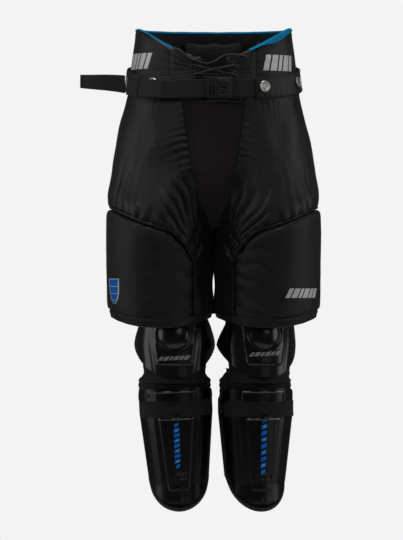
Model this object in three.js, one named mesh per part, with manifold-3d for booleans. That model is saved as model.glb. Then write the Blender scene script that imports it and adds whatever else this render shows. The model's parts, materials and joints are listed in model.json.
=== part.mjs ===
// Youth ice hockey pants with built-in shin guards, as an assembly of separate solids.
// Units are millimetres. +Z is up, the front faces -Y, and the wearer's left is +X.
// The origin is the centre of the waist opening, level with the belt line at the sides.
import * as THREE from 'three';
import { mergeVertices } from 'three/addons/utils/BufferGeometryUtils.js';
import Module from 'manifold-3d';

const wasm = await Module();
wasm.setup();

// ---------- Driving dimensions ----------

const GAP = 0.4; // between hard pieces that touch
const LAYER_GAP = 3; // between layers of padding
const STRAP_GAP = 1; // between layers of webbing and cloth

// Half-widths and depths of the body of the pants, at the heights that shape it.
const TOP = { z: 77, width: 109, front: 80, back: 84 };
const BELT = { z: 0, width: 118, front: 89, back: 95 };
const UPPER_HIP = { z: -60, width: 132, front: 93, back: 104 };
const HIP = { z: -105, width: 140, front: 95, back: 106 };
const ROUNDNESS = 2.4; // exponent of the rounded sections; 2 is an ellipse

const FRONT_DIP = 49; // how far the front of the waistband lies under its sides
const BELT_MIDDLE = 8; // height of the belt at the sides
const BELT_TILT = { front: 0.184, back: 0.11 }; // its rise per millimetre towards the back
const BELT_WIDTH = 25;
const WEBBING_THICKNESS = 1.6;

const PANEL_THICKNESS = 8; // quilted hip and seat panels
const BAND_THICKNESS = 5; // waistband
const INNER_PAD_THICKNESS = 9; // kidney, hip and tailbone foam
const CLOTH_THICKNESS = 2;
const CAP_THICKNESS = 2; // moulded plates in the pads
const FLY_HALF_WIDTH = 20; // from the centre to the edge of each laced flap
const GUSSET_TOP = 43; // half-width of the stretch panel at the belt
const GUSSET_BOTTOM = 13; // and at the crotch

const HIP_AXIS_DROP = 140;
const CROTCH_DROP = 192;
const PANEL_SIDE_DROP = 186; // lower edge of the hip panels at the sides, inside the pads
const PANEL_FRONT_DROP = 196;

// Legs: the padded thigh tubes.
const LEG_GAP = 2; // from the centre plane to each leg
const LEG_TOP = { width: 72.5, front: 106, back: 110 };
const LEG_HEM = { width: 71, front: 101, back: 104 };
const PAD_THICKNESS = 12;
const PAD_SIDE_DROP = 170; // top of the thigh pad at the side
const PAD_FRONT_FALL = 29; // how much lower it lies at the middle of the front
const PAD_CORNER_FALL = 46; // and how much lower again at its inner corner
const PAD_CORNER_ANGLE = 41; // where the pad ends, past the middle of the front
const HEM_SIDE_DROP = 326;
const HEM_FRONT_FALL = 13;
const HEM_HEIGHT = 12;
const HEM_THICKNESS = 3;
const CROTCH_PANEL_DROP = 208;
const PLATE_TOP_DROP = 222;
const TUCK_CLEARANCE = 4; // between the hip panels and the thigh pads that swing over them

// Knee and shin guards. Each has its own frame, with x = 0 at the ridge of the guard.
const GUARD_TURN = { left: { yaw: 13, tilt: 0 }, right: { yaw: 0, tilt: 2.5 } }; // degrees
const GUARD_SIDE_GAP = { left: 3, right: 0 }; // from the centre plane to the knee cap's edge
const GUARD_FORWARD = -8;
const KNEE_RISE = 34; // top of the knee cap above the hem's sides
const KNEE_HEIGHT = 117;
const KNEE_WIDTH = 54.5; // half-width
const KNEE_DEPTH = 63;
const KNEE_DOME = { drop: 54, radius: 26, height: 5 };
const NECK = { drop: 7, width: 47, opening: 5 }; // soft sleeve between the knee and the shin
const SHIN_HEIGHT = 171;
const SHIN_WIDTH = 53; // half-width
const SHIN_FOOT = 42;
const SHIN_DEPTH = 55;
const UPPER_PLATE_HEIGHT = 36;
const SHIN_RIDGE = 3;
const SHELL_THICKNESS = 3;
const FOAM_THICKNESS = 9;
const SUSPENSION = { width: 30, rise: 45, clearance: 13 }; // strap up to the thigh pad's inner face
const CALF_STRAP_DROP = 31; // from the top of the shin liner
const CALF_DEPTH = 40; // from the liner's edges back to the calf strap

const BUTTON = { radius: 8, height: 3.2, flat: 4.8 };
const BUTTON_X = { left: [66, 111], right: [80, 112] };
const BACK_BUTTON_ANGLE = 150; // round each side from the middle of the front
const EYELET = { bore: 2.4, barrel: 3.1, flange: 4.5, lip: 0.8, x: 30 };
const EYELET_RISES = [19, 6.5]; // above the top edge of the belt
const LACE_DIAMETER = 2.6;
const BINDING_START = 55; // the bright binding fades out this far from the centre
const BINDING_HEIGHT = 9;
const BUCKLE = { left: -9, split: 4, right: 25, over: 2, thickness: 9, wall: 1.8 };
const BUCKLE_CLEARANCE = 0.7; // between the prongs and the socket
const TAIL_REACH = 186; // how far the free end of the belt stands out

// ---------- Small helpers ----------

const rad = THREE.MathUtils.degToRad;
const { lerp, clamp } = THREE.MathUtils;

// x to the power e, with x's own sign.
const signedPower = (x, e) => Math.sign(x) * Math.abs(x) ** e;

// A point on a rounded section; angle 0 is the front and 90 degrees the +X side.
function sectionPoint({ width, front, back }, angle, inset = 0) {
  const s = signedPower(Math.sin(angle), 2 / ROUNDNESS);
  const c = signedPower(Math.cos(angle), 2 / ROUNDNESS);
  const depth = c > 0 ? front : back;
  return [(width - inset) * s, -(depth - inset) * c];
}

// The angle at which a section reaches a given x, on its front half.
function angleAtX(section, x) {
  return Math.asin(signedPower(clamp(x / section.width, -1, 1), ROUNDNESS / 2));
}

function blendSections(a, b, t) {
  return {
    width: lerp(a.width, b.width, t),
    front: lerp(a.front, b.front, t),
    back: lerp(a.back, b.back, t),
  };
}

// A closed sheet between an outer and an inner surface, each a function of u and v from 0 to 1.
// Seen from outside, u runs to the right and v runs up. A ring joins its two u ends.
function sheet(outer, inner, { across = 8, up = 6, ring = false } = {}) {
  const columns = ring ? across : across + 1;
  const points = [];
  for (const surface of [outer, inner]) {
    for (let j = 0; j <= up; j++) {
      for (let i = 0; i < columns; i++) points.push(...surface(i / across, j / up));
    }
  }
  const layer = columns * (up + 1);
  const at = (side, i, j) => side * layer + j * columns + (i % columns);
  const faces = [];
  const quad = (a, b, c, d) => faces.push(a, b, c, a, c, d);
  for (let i = 0; i < across; i++) {
    for (let j = 0; j < up; j++) {
      quad(at(0, i, j), at(0, i + 1, j), at(0, i + 1, j + 1), at(0, i, j + 1));
      quad(at(1, i, j), at(1, i, j + 1), at(1, i + 1, j + 1), at(1, i + 1, j));
    }
    quad(at(0, i, 0), at(1, i, 0), at(1, i + 1, 0), at(0, i + 1, 0));
    quad(at(0, i, up), at(0, i + 1, up), at(1, i + 1, up), at(1, i, up));
  }
  if (!ring) {
    for (let j = 0; j < up; j++) {
      quad(at(0, 0, j), at(0, 0, j + 1), at(1, 0, j + 1), at(1, 0, j));
      quad(at(0, across, j), at(1, across, j), at(1, across, j + 1), at(0, across, j + 1));
    }
  }
  const geometry = new THREE.BufferGeometry();
  geometry.setAttribute('position', new THREE.Float32BufferAttribute(points, 3));
  geometry.setIndex(faces);
  return geometry;
}

function solidOf(geometry) {
  const bare = geometry.clone();
  bare.deleteAttribute('normal');
  bare.deleteAttribute('uv');
  const merged = mergeVertices(bare, 1e-3);
  return new wasm.Manifold(
    new wasm.Mesh({
      numProp: 3,
      vertProperties: merged.attributes.position.array,
      triVerts: new Uint32Array(merged.index.array),
    }),
  );
}

function geometryOf(solid) {
  const mesh = solid.getMesh();
  const geometry = new THREE.BufferGeometry();
  geometry.setAttribute('position', new THREE.BufferAttribute(mesh.vertProperties, 3));
  geometry.setIndex(new THREE.BufferAttribute(mesh.triVerts, 1));
  return geometry;
}

function box(width, depth, height, x, y, z) {
  return new THREE.BoxGeometry(width, depth, height).translate(x, y, z);
}

// A tube of a given diameter along a smooth line through the points.
function cordAlong(points, diameter, steps) {
  const line = new THREE.CatmullRomCurve3(points.map((p) => new THREE.Vector3(...p)));
  const section = new THREE.Shape().absarc(0, 0, diameter / 2, 0, 2 * Math.PI);
  return new THREE.ExtrudeGeometry(section, { steps, curveSegments: 4, extrudePath: line });
}

// ---------- Materials ----------

const finish = (color, roughness, metalness = 0) =>
  new THREE.MeshStandardMaterial({ color, roughness, metalness });

const MATERIALS = {
  nylon: finish(0x222224, 0.45),
  knit: finish(0x1b1718, 0.9),
  padCover: finish(0x151516, 0.55),
  lining: finish(0x0e6f9c, 0.7),
  foam: finish(0x2b2b2d, 0.95),
  plate: finish(0xd9d9d4, 0.5),
  webbing: finish(0x171717, 0.75),
  blackPlastic: finish(0x121212, 0.4),
  gloss: finish(0x1c1d20, 0.15),
  nickel: finish(0xb7b0a4, 0.3, 1),
  lace: finish(0x1e1e20, 0.8),
};

const part = new THREE.Group();

function addTo(group, name, geometry, material) {
  const mesh = new THREE.Mesh(geometry, MATERIALS[material]);
  mesh.name = name;
  group.add(mesh);
  return mesh;
}

const cutOut = (geometry, tools) =>
  geometryOf(tools.reduce((solid, tool) => solid.subtract(solidOf(tool)), solidOf(geometry)));

const SIDES = [
  { name: 'left', sign: 1 },
  { name: 'right', sign: -1 },
];

// ---------- The body of the pants ----------

// Where the hip panels lie inside the thigh pads, they keep clear of them as the legs swing.
const TUCK_START = { ...HIP, z: -HIP_AXIS_DROP + 12 };
const tuckInset = PAD_THICKNESS + TUCK_CLEARANCE;
const TUCK = {
  z: -HIP_AXIS_DROP - 4,
  width: LEG_GAP + 2 * LEG_TOP.width - tuckInset,
  front: LEG_TOP.front - tuckInset,
  back: LEG_TOP.back - tuckInset,
};
const TUCK_END = { ...TUCK, z: -PANEL_FRONT_DROP, front: TUCK.front - 10, back: TUCK.back - 12 };
const STATIONS = [TOP, BELT, UPPER_HIP, HIP, TUCK_START, TUCK, TUCK_END];

function bodySection(z) {
  const below = STATIONS.findIndex((s) => s.z <= z);
  if (below <= 0) return below === 0 ? STATIONS[0] : STATIONS.at(-1);
  const [a, b] = [STATIONS[below - 1], STATIONS[below]];
  return blendSections(a, b, (a.z - z) / (a.z - b.z));
}

// How far the front and back are drawn in towards the crotch, at x and z.
const PINCH_START = -HIP_AXIS_DROP + 30;
const PINCH_WIDTH = 30;
function pinch(x, z) {
  const depth = clamp((PINCH_START - z) / (CROTCH_DROP + PINCH_START), 0, 1);
  return 1 - 0.75 * depth ** 2 * Math.exp(-((x / PINCH_WIDTH) ** 2));
}

function bodyPoint(angle, z, inset = 0) {
  const [x, y] = sectionPoint(bodySection(z), angle, inset);
  return [x, y * pinch(x, z), z];
}

// The front of the waistband dips; its sides and back are level.
function topHeight(angle) {
  const [x, y] = sectionPoint(TOP, angle);
  if (y > 0) return TOP.z;
  return TOP.z - FRONT_DIP * (1 - (Math.abs(x) / TOP.width) ** 1.35);
}

function beltHeight(angle) {
  const y = sectionPoint(BELT, angle)[1];
  return BELT_MIDDLE + y * (y < 0 ? BELT_TILT.front : BELT_TILT.back);
}
const seamHeight = (angle) => beltHeight(angle) - BELT_WIDTH / 2 - 3;

// Lower edge of the hip and seat panels: lowest at the middle of each leg.
function panelLowerEdge(angle) {
  const side = Math.abs(Math.sin(angle)) ** 4;
  return -lerp(PANEL_FRONT_DROP, PANEL_SIDE_DROP, side);
}

// A piece of the body wall from one angle to another and from one height to another, both as functions.
function bodyWall({ from, to, low, high, inset = 0, thickness, across = 8, up = 6 }) {
  const surface = (depth) => (u, v) => {
    const lowAngle = lerp(from(low(0)), to(low(0)), u);
    const z = lerp(low(lowAngle), high(lowAngle), v);
    const angle = lerp(from(z), to(z), u);
    return bodyPoint(angle, z, depth);
  };
  return sheet(surface(inset), surface(inset + thickness), { across, up });
}

const turned = (degrees) => () => rad(degrees);

// The edge of the stretch panel narrows from the belt to the crotch.
function gussetHalfWidth(z) {
  const t = clamp((seamHeight(0) - z) / (seamHeight(0) + CROTCH_DROP), 0, 1);
  return lerp(GUSSET_TOP, GUSSET_BOTTOM, t);
}
const gussetAngle = (extra) => (z) => angleAtX(bodySection(z), gussetHalfWidth(z) + extra);

addTo(part, 'stretch_gusset', bodyWall({
  from: (z) => -gussetAngle(-GAP)(z),
  to: gussetAngle(-GAP),
  low: () => -CROTCH_DROP,
  high: (angle) => seamHeight(angle) - STRAP_GAP,
  thickness: CLOTH_THICKNESS,
  up: 10,
}), 'knit');

// Layers of padding inside the panels: a moulded cap, then foam.
const capInset = PANEL_THICKNESS + LAYER_GAP;
const foamInset = capInset + CAP_THICKNESS + LAYER_GAP;
for (const { name, sign } of SIDES) {
  const mirrored = (from, to) => (sign > 0
    ? { from, to }
    : { from: (z) => -to(z), to: (z) => -from(z) });
  const panel = {
    low: panelLowerEdge,
    high: (angle) => seamHeight(angle) - STRAP_GAP,
    thickness: PANEL_THICKNESS,
    across: 10,
    up: 12,
  };
  addTo(part, `front_panel_${name}`, bodyWall({
    ...panel,
    ...mirrored(gussetAngle(GAP), turned(89.8)),
  }), 'nylon');
  addTo(part, `seat_panel_${name}`, bodyWall({
    ...panel,
    ...mirrored(turned(90.2), turned(179.8)),
  }), 'nylon');
  addTo(part, `hip_cap_${name}`, bodyWall({
    ...mirrored(turned(58), turned(118)),
    low: () => -118,
    high: () => -34,
    inset: capInset,
    thickness: CAP_THICKNESS,
    across: 8,
    up: 7,
  }), 'plate');
  addTo(part, `hip_pad_${name}`, bodyWall({
    ...mirrored(turned(54), turned(122)),
    low: () => -124,
    high: () => -28,
    inset: foamInset,
    thickness: INNER_PAD_THICKNESS,
    across: 6,
    up: 4,
  }), 'foam');
  addTo(part, `kidney_pad_${name}`, bodyWall({
    ...mirrored(turned(74), turned(148)),
    low: (angle) => seamHeight(angle) + LAYER_GAP,
    high: (angle) => topHeight(angle) - BINDING_HEIGHT - LAYER_GAP,
    inset: BAND_THICKNESS + LAYER_GAP,
    thickness: INNER_PAD_THICKNESS,
    across: 7,
    up: 3,
  }), 'foam');
}

addTo(part, 'tailbone_pad', bodyWall({
  from: turned(157),
  to: turned(203),
  low: () => -110,
  high: () => TOP.z - BINDING_HEIGHT - LAYER_GAP,
  inset: capInset,
  thickness: INNER_PAD_THICKNESS,
  across: 6,
  up: 8,
}), 'foam');

// ---------- Waistband, fly and lace ----------

const flyAngle = angleAtX(BELT, FLY_HALF_WIDTH);

// Places a turned piece on the body, with its own axis along the wall's normal.
function setOnWall(object, angle, z, standOff) {
  const step = 0.02;
  const at = (a, h) => new THREE.Vector3(...bodyPoint(a, h, -standOff));
  const round = at(angle + step, z).sub(at(angle - step, z));
  const rise = at(angle, z + 2).sub(at(angle, z - 2));
  const outward = round.cross(rise).normalize();
  object.quaternion.setFromUnitVectors(new THREE.Vector3(0, 1, 0), outward);
  object.position.copy(at(angle, z));
  object.updateMatrix();
  return object;
}

const beltTop = beltHeight(0) + BELT_WIDTH / 2;
const eyeletSpots = SIDES.flatMap(({ name, sign }) => EYELET_RISES.map((rise, row) => ({
  name: `fly_eyelet_${name}_${row + 1}`,
  angle: sign * angleAtX(BELT, EYELET.x),
  z: beltTop + rise,
})));

const eyeletHole = (spot) => setOnWall(new THREE.Object3D(), spot.angle, spot.z, -BAND_THICKNESS / 2);
const holeRadius = EYELET.barrel + GAP;
const ringFrom = (start) => ({ from: () => start, to: () => 2 * Math.PI - start, across: 36 });

addTo(part, 'waistband', cutOut(
  bodyWall({
    ...ringFrom(flyAngle),
    low: seamHeight,
    high: topHeight,
    thickness: BAND_THICKNESS,
    up: 5,
  }),
  eyeletSpots.map((spot) => new THREE.CylinderGeometry(holeRadius, holeRadius, 3 * BAND_THICKNESS, 12)
    .applyMatrix4(eyeletHole(spot).matrix)),
), 'nylon');

// The bright binding lies along the inner edge of the waistband.
addTo(part, 'waist_binding', bodyWall({
  ...ringFrom(angleAtX(BELT, BINDING_START)),
  low: (angle) => topHeight(angle) - BINDING_HEIGHT,
  high: topHeight,
  inset: BAND_THICKNESS + STRAP_GAP,
  thickness: 1.5,
  up: 1,
}), 'lining');

const TONGUE_INSET = BAND_THICKNESS + 2 * LACE_DIAMETER + 4;
addTo(part, 'fly_tongue', bodyWall({
  from: () => -2.2 * flyAngle,
  to: () => 2.2 * flyAngle,
  low: () => seamHeight(0) + 4,
  high: () => TOP.z - FRONT_DIP,
  inset: TONGUE_INSET,
  thickness: CLOTH_THICKNESS,
  across: 8,
  up: 3,
}), 'nylon');

// An eyelet is one turned ring: a barrel with a flange at each face of the flap.
function eyeletGeometry() {
  const { bore, barrel, flange, lip } = EYELET;
  const half = BAND_THICKNESS / 2 + GAP;
  const profile = [
    [bore, -half - lip], [flange, -half - lip], [flange, -half], [barrel, -half],
    [barrel, half], [flange, half], [flange, half + lip], [bore, half + lip], [bore, -half - lip],
  ].map(([r, h]) => new THREE.Vector2(r, h));
  return new THREE.LatheGeometry(profile, 12);
}

for (const spot of eyeletSpots) {
  const eyelet = addTo(part, spot.name, eyeletGeometry(), 'nickel');
  setOnWall(eyelet, spot.angle, spot.z, -BAND_THICKNESS / 2);
}

// The lace crosses between the rows in front, and runs straight across behind the lower row.
function laceRoute() {
  const reach = BAND_THICKNESS / 2 + GAP + EYELET.lip + LACE_DIAMETER;
  const along = (spot, distance, inward) => {
    const place = eyeletHole(spot);
    const normal = new THREE.Vector3(0, 1, 0).applyQuaternion(place.quaternion);
    const point = place.position.clone().addScaledVector(normal, distance);
    point.x -= Math.sign(place.position.x) * inward;
    return point.toArray();
  };
  const [leftTop, leftLow, rightTop, rightLow] = eyeletSpots;
  const front = (spot) => along(spot, reach, 1.2);
  const inside = (spot) => along(spot, 0, 0);
  const behind = (spot) => along(spot, -reach, 1.2);
  const end = (spot) => along(spot, -reach, 9);
  const [, frontY] = front(leftTop);
  const middleZ = (leftTop.z + leftLow.z) / 2;
  const crossing = (proud) => [0, frontY - proud, middleZ];
  const [, backY] = behind(leftLow);
  return [
    end(leftTop), behind(leftTop), inside(leftTop), front(leftTop), crossing(LACE_DIAMETER + 1.6),
    front(rightLow), inside(rightLow), behind(rightLow), [0, backY, leftLow.z],
    behind(leftLow), inside(leftLow), front(leftLow), crossing(0),
    front(rightTop), inside(rightTop), behind(rightTop), end(rightTop),
  ];
}
addTo(part, 'fly_lace', cordAlong(laceRoute(), LACE_DIAMETER, 60), 'lace');

// ---------- Belt ----------

// A flat strap on the body from one angle to another, standing off it by a distance.
function bodyStrap({ from, to, standOff, width, thickness, across }) {
  const surface = (off) => (u, v) => {
    const angle = lerp(from, to, u);
    const z = beltHeight(angle) + lerp(-width / 2, width / 2, v);
    return bodyPoint(angle, z, -off);
  };
  return sheet(surface(standOff + thickness), surface(standOff), { across, up: 1 });
}

addTo(part, 'belt_webbing', bodyStrap({
  from: angleAtX(BELT, BUCKLE.right - 6),
  to: 2 * Math.PI + angleAtX(BELT, BUCKLE.left - 8),
  standOff: STRAP_GAP,
  width: BELT_WIDTH,
  thickness: WEBBING_THICKNESS,
  across: 60,
}), 'webbing');

// Cloth tunnels hold the belt to each side and carry the brace buttons.
const TUNNEL_START = 55;
const TUNNEL_END_ANGLE = 164;
const TUNNEL_THICKNESS = 1.5;
const tunnelStandOff = 2 * STRAP_GAP + WEBBING_THICKNESS;
const tunnelStart = angleAtX(BELT, TUNNEL_START);
for (const { name, sign } of SIDES) {
  const [from, to] = sign > 0
    ? [tunnelStart, rad(TUNNEL_END_ANGLE)]
    : [-rad(TUNNEL_END_ANGLE), -tunnelStart];
  addTo(part, `belt_tunnel_${name}`, bodyStrap({
    from,
    to,
    standOff: tunnelStandOff,
    width: BELT_WIDTH + 6,
    thickness: TUNNEL_THICKNESS,
    across: 26,
  }), 'nylon');
}

// Brace buttons: dished discs with a flat middle, riveted on the tunnels.
function buttonGeometry() {
  const { radius, height, flat } = BUTTON;
  const profile = [
    [0, 0], [0.8 * radius, 0], [radius, 1], [radius, height - 1], [0.82 * radius, height],
    [flat, height - 0.6], [0, height - 0.6],
  ].map(([r, h]) => new THREE.Vector2(r, h));
  return new THREE.LatheGeometry(profile, 16);
}

const buttonStandOff = tunnelStandOff + TUNNEL_THICKNESS + STRAP_GAP;
for (const { name, sign } of SIDES) {
  const angles = [...BUTTON_X[name].map((x) => angleAtX(BELT, x)), rad(BACK_BUTTON_ANGLE)];
  angles.forEach((angle, i) => {
    const button = addTo(part, `brace_button_${name}_${i + 1}`, buttonGeometry(), 'nickel');
    setOnWall(button, sign * angle, beltHeight(angle), buttonStandOff);
  });
}

// The free end of the belt comes back from the buckle over the inner button, and runs
// through a keeper to its end, which stands out past the side.
const KEEPER = { start: 94, length: 25 };
const tailOverButtons = buttonStandOff + BUTTON.height + STRAP_GAP;
const tailAtBuckle = 2 * STRAP_GAP + WEBBING_THICKNESS;
const tailStart = angleAtX(BELT, BUCKLE.left + 2);
const tailFull = -angleAtX(BELT, BUTTON_X.right[0] - BUTTON.radius - 8);
const keeperStart = -angleAtX(BELT, KEEPER.start);
const keeperEnd = keeperStart - KEEPER.length / BELT.front;

function tailPoint(u, v, extra) {
  const angle = lerp(keeperEnd, tailStart, u);
  const rise = clamp((tailStart - angle) / (tailStart - tailFull), 0, 1);
  const off = lerp(tailAtBuckle, tailOverButtons, rise ** 2) + extra;
  return bodyPoint(angle, beltHeight(angle) + lerp(-0.5, 0.5, v) * BELT_WIDTH, -off);
}
addTo(part, 'belt_tail', sheet(
  (u, v) => tailPoint(u, v, WEBBING_THICKNESS),
  (u, v) => tailPoint(u, v, 0),
  { across: 20, up: 1 },
), 'webbing');

addTo(part, 'tail_keeper', bodyStrap({
  from: keeperEnd + 0.03,
  to: keeperStart,
  standOff: tailOverButtons + WEBBING_THICKNESS + STRAP_GAP,
  width: BELT_WIDTH + 4,
  thickness: TUNNEL_THICKNESS,
  across: 5,
}), 'webbing');

// The free end beyond the keeper swings about an upright line at its root.
const TAIL_RISE = 6;
const TAIL_SWEEP = 10;
const tailRoot = new THREE.Vector3(...tailPoint(0, 0.5, WEBBING_THICKNESS));
function tailEndPoint(u, v, extra) {
  const away = 1 - u;
  const width = BELT_WIDTH * lerp(1, 0.75, away);
  return [
    lerp(-TAIL_REACH, tailRoot.x - 3 * STRAP_GAP, u),
    tailRoot.y + TAIL_SWEEP * away ** 1.5 + WEBBING_THICKNESS - extra,
    tailRoot.z + TAIL_RISE * away + lerp(-0.5, 0.5, v) * width,
  ];
}
addTo(part, 'belt_tail_end', sheet(
  (u, v) => tailEndPoint(u, v, WEBBING_THICKNESS),
  (u, v) => tailEndPoint(u, v, 0),
  { across: 6, up: 1 },
), 'webbing');

// ---------- Buckle ----------

// A side-release buckle: the socket stays on the belt, and the plug draws out towards -X.
const buckleZ = beltHeight(0);
const buckleHeight = BELT_WIDTH + 2 * BUCKLE.over;
const buckleBack = bodyPoint(0, buckleZ, -(tailAtBuckle + WEBBING_THICKNESS + STRAP_GAP))[1];
const buckleY = buckleBack - BUCKLE.thickness / 2;
const between = (x0, x1, depth, height, z = 0) =>
  box(x1 - x0, depth, height, (x0 + x1) / 2, buckleY, buckleZ + z);

const pocket = {
  depth: BUCKLE.thickness - 2 * BUCKLE.wall,
  height: buckleHeight - 2 * BUCKLE.wall,
  end: BUCKLE.right - 3,
};
const socketStart = BUCKLE.split + GAP;
const slit = box(8, BUCKLE.wall + 2, 1.4, 12, buckleBack - BUCKLE.thickness + BUCKLE.wall / 2, buckleZ);
addTo(part, 'buckle_socket', cutOut(
  between(socketStart, BUCKLE.right, BUCKLE.thickness, buckleHeight),
  [
    between(socketStart - 1, pocket.end, pocket.depth, pocket.height),
    between(socketStart + 5, pocket.end - 4, pocket.depth - 1, buckleHeight + 4),
    slit,
  ],
), 'blackPlastic');

const prong = {
  depth: pocket.depth - 2 * BUCKLE_CLEARANCE,
  height: 5,
  end: pocket.end - 1.5,
  offset: pocket.height / 2 - BUCKLE_CLEARANCE - 2.5,
};
const ladderSlots = [BUCKLE.left + 2.4, BUCKLE.left + 7.2].map((x) =>
  between(x, x + 2.4, BUCKLE.thickness + 2, buckleHeight - 6));
const ladder = solidOf(cutOut(
  between(BUCKLE.left, BUCKLE.split, BUCKLE.thickness - 1, buckleHeight),
  ladderSlots,
));
const plug = [-prong.offset, 0, prong.offset].reduce(
  (solid, z) => solid.add(solidOf(between(BUCKLE.split - 1, prong.end, prong.depth, prong.height, z))),
  ladder,
);
addTo(part, 'buckle_plug', geometryOf(plug), 'blackPlastic');

// ---------- Legs ----------

const legCentre = LEG_GAP + LEG_TOP.width;

// The hem hangs lower at the front than at the sides.
const hemBottom = (angle) => -HEM_SIDE_DROP - HEM_FRONT_FALL * Math.max(0, Math.cos(angle)) ** 2;

function legPoint(sign, angle, z, inset = 0) {
  const t = clamp((-z - PAD_SIDE_DROP) / (HEM_SIDE_DROP - PAD_SIDE_DROP), 0, 1);
  const [x, y] = sectionPoint(blendSections(LEG_TOP, LEG_HEM, t), angle, inset);
  const centre = lerp(legCentre, LEG_GAP + LEG_HEM.width, t);
  return [sign * centre + x, y, z];
}

// Angles round a leg run from the front through the outer side on the wearer's left leg.
function legWall(sign, { from, to, low, high, inset = 0, thickness, across, up = 5, ring = false }) {
  const surface = (depth) => (u, v) => {
    const local = sign > 0 ? lerp(from, to, u) : -lerp(to, from, u);
    const own = sign > 0 ? local : -local;
    return legPoint(sign, local, lerp(low(own), high(own), v), depth);
  };
  return sheet(surface(inset), surface(inset + thickness), { across, up, ring });
}

// Top edge of the thigh pad; the angle is measured from the middle of the leg's front.
function padTop(angle) {
  const fromFront = Math.min(angle, Math.PI - angle);
  const front = -PAD_SIDE_DROP - PAD_FRONT_FALL;
  if (fromFront > 0) return front + PAD_FRONT_FALL * Math.sin(fromFront);
  return front - PAD_CORNER_FALL * (-fromFront / rad(PAD_CORNER_ANGLE)) ** 1.5;
}

const corner = rad(PAD_CORNER_ANGLE);
const hemTop = (angle) => hemBottom(angle) + HEM_HEIGHT;

for (const { name, sign } of SIDES) {
  addTo(part, `${name}_thigh_pad`, legWall(sign, {
    from: -corner,
    to: Math.PI + corner,
    low: (a) => hemTop(a) + GAP,
    high: padTop,
    thickness: PAD_THICKNESS,
    across: 18,
  }), 'padCover');
  addTo(part, `${name}_thigh_plate`, legWall(sign, {
    from: rad(-22),
    to: rad(150),
    low: () => -HEM_SIDE_DROP + HEM_HEIGHT + 6,
    high: () => -PLATE_TOP_DROP,
    inset: PAD_THICKNESS + LAYER_GAP,
    thickness: CAP_THICKNESS,
    across: 12,
    up: 2,
  }), 'plate');
  addTo(part, `${name}_inner_leg_panel`, legWall(sign, {
    from: Math.PI + corner + 0.01,
    to: 2 * Math.PI - corner - 0.01,
    low: (a) => hemTop(a) + GAP,
    high: (a) => -CROTCH_PANEL_DROP - 34 * Math.abs(Math.cos(a)) ** 1.5,
    thickness: CLOTH_THICKNESS,
    across: 8,
  }), 'nylon');
  addTo(part, `${name}_hem_band`, legWall(sign, {
    from: 0,
    to: 2 * Math.PI,
    low: hemBottom,
    high: hemTop,
    inset: -0.3,
    thickness: HEM_THICKNESS,
    across: 28,
    up: 1,
    ring: true,
  }), 'padCover');
}

// ---------- Shin guards ----------

// How much of its full width an outline keeps near an end that is rounded over a length.
function roundOff(distance, length) {
  const t = clamp(1 - distance / length, 0, 1);
  return Math.sqrt(Math.max(0, 1 - t ** 2.2));
}

const WRAP_ANGLE = rad(98);

// A wall wrapped round the front of the leg. Its outline is a half-width at each height,
// as a share of the widest, and relief stands out from its face.
function wrap({ width, depth, low, high, inset, thickness, share, taper, relief, across = 12, up = 10 }) {
  const surface = (drop) => (u, v) => {
    const z = lerp(low, high, (1 - Math.cos(Math.PI * v)) / 2);
    const reach = clamp(share(z), 0.06, 1);
    const angle = lerp(-1, 1, u) * (reach >= 1 ? WRAP_ANGLE : Math.asin(reach));
    const scale = taper ? taper(z) : 1;
    const proud = relief ? relief(width * scale * Math.sin(angle), z) : 0;
    return [
      (width - drop) * scale * Math.sin(angle),
      -(depth + proud - drop) * scale * Math.cos(angle),
      z,
    ];
  };
  return sheet(surface(inset), surface(inset + thickness), { across, up });
}

const kneeTop = -HEM_SIDE_DROP + KNEE_RISE;
const kneeBottom = kneeTop - KNEE_HEIGHT;
const neckBottom = kneeBottom - NECK.drop;
const shinTop = neckBottom - NECK.opening;
const shinBottom = shinTop - SHIN_HEIGHT;
const plateBottom = shinTop - UPPER_PLATE_HEIGHT;

const shinTaper = (z) => lerp(SHIN_FOOT / SHIN_WIDTH, 1, clamp((z - shinBottom - 35) / 100, 0, 1));
const dome = (x, z) => {
  const away = (x ** 2 + (z - kneeTop + KNEE_DOME.drop) ** 2) / KNEE_DOME.radius ** 2;
  return KNEE_DOME.height * Math.exp(-away);
};

function kneePieces(name, guard) {
  const size = { width: KNEE_WIDTH, depth: KNEE_DEPTH };
  addTo(guard, `${name}_knee_cap`, wrap({
    ...size,
    share: (z) => Math.min(roundOff(kneeTop - z, 90), roundOff(z - kneeBottom, 52)),
    low: kneeBottom + 1,
    high: kneeTop - 1,
    inset: 0,
    thickness: SHELL_THICKNESS,
    relief: dome,
    up: 10,
  }), 'gloss');
  const neckShare = (z) => lerp(NECK.width / KNEE_WIDTH, 0.97, clamp((z - kneeBottom) / 34, 0, 1));
  addTo(guard, `${name}_knee_liner`, wrap({
    ...size,
    share: (z) => Math.min(neckShare(z), roundOff(kneeTop + 8 - z, 34)),
    low: neckBottom,
    high: kneeTop + 6,
    inset: SHELL_THICKNESS + LAYER_GAP,
    thickness: FOAM_THICKNESS,
  }), 'foam');
}

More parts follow.
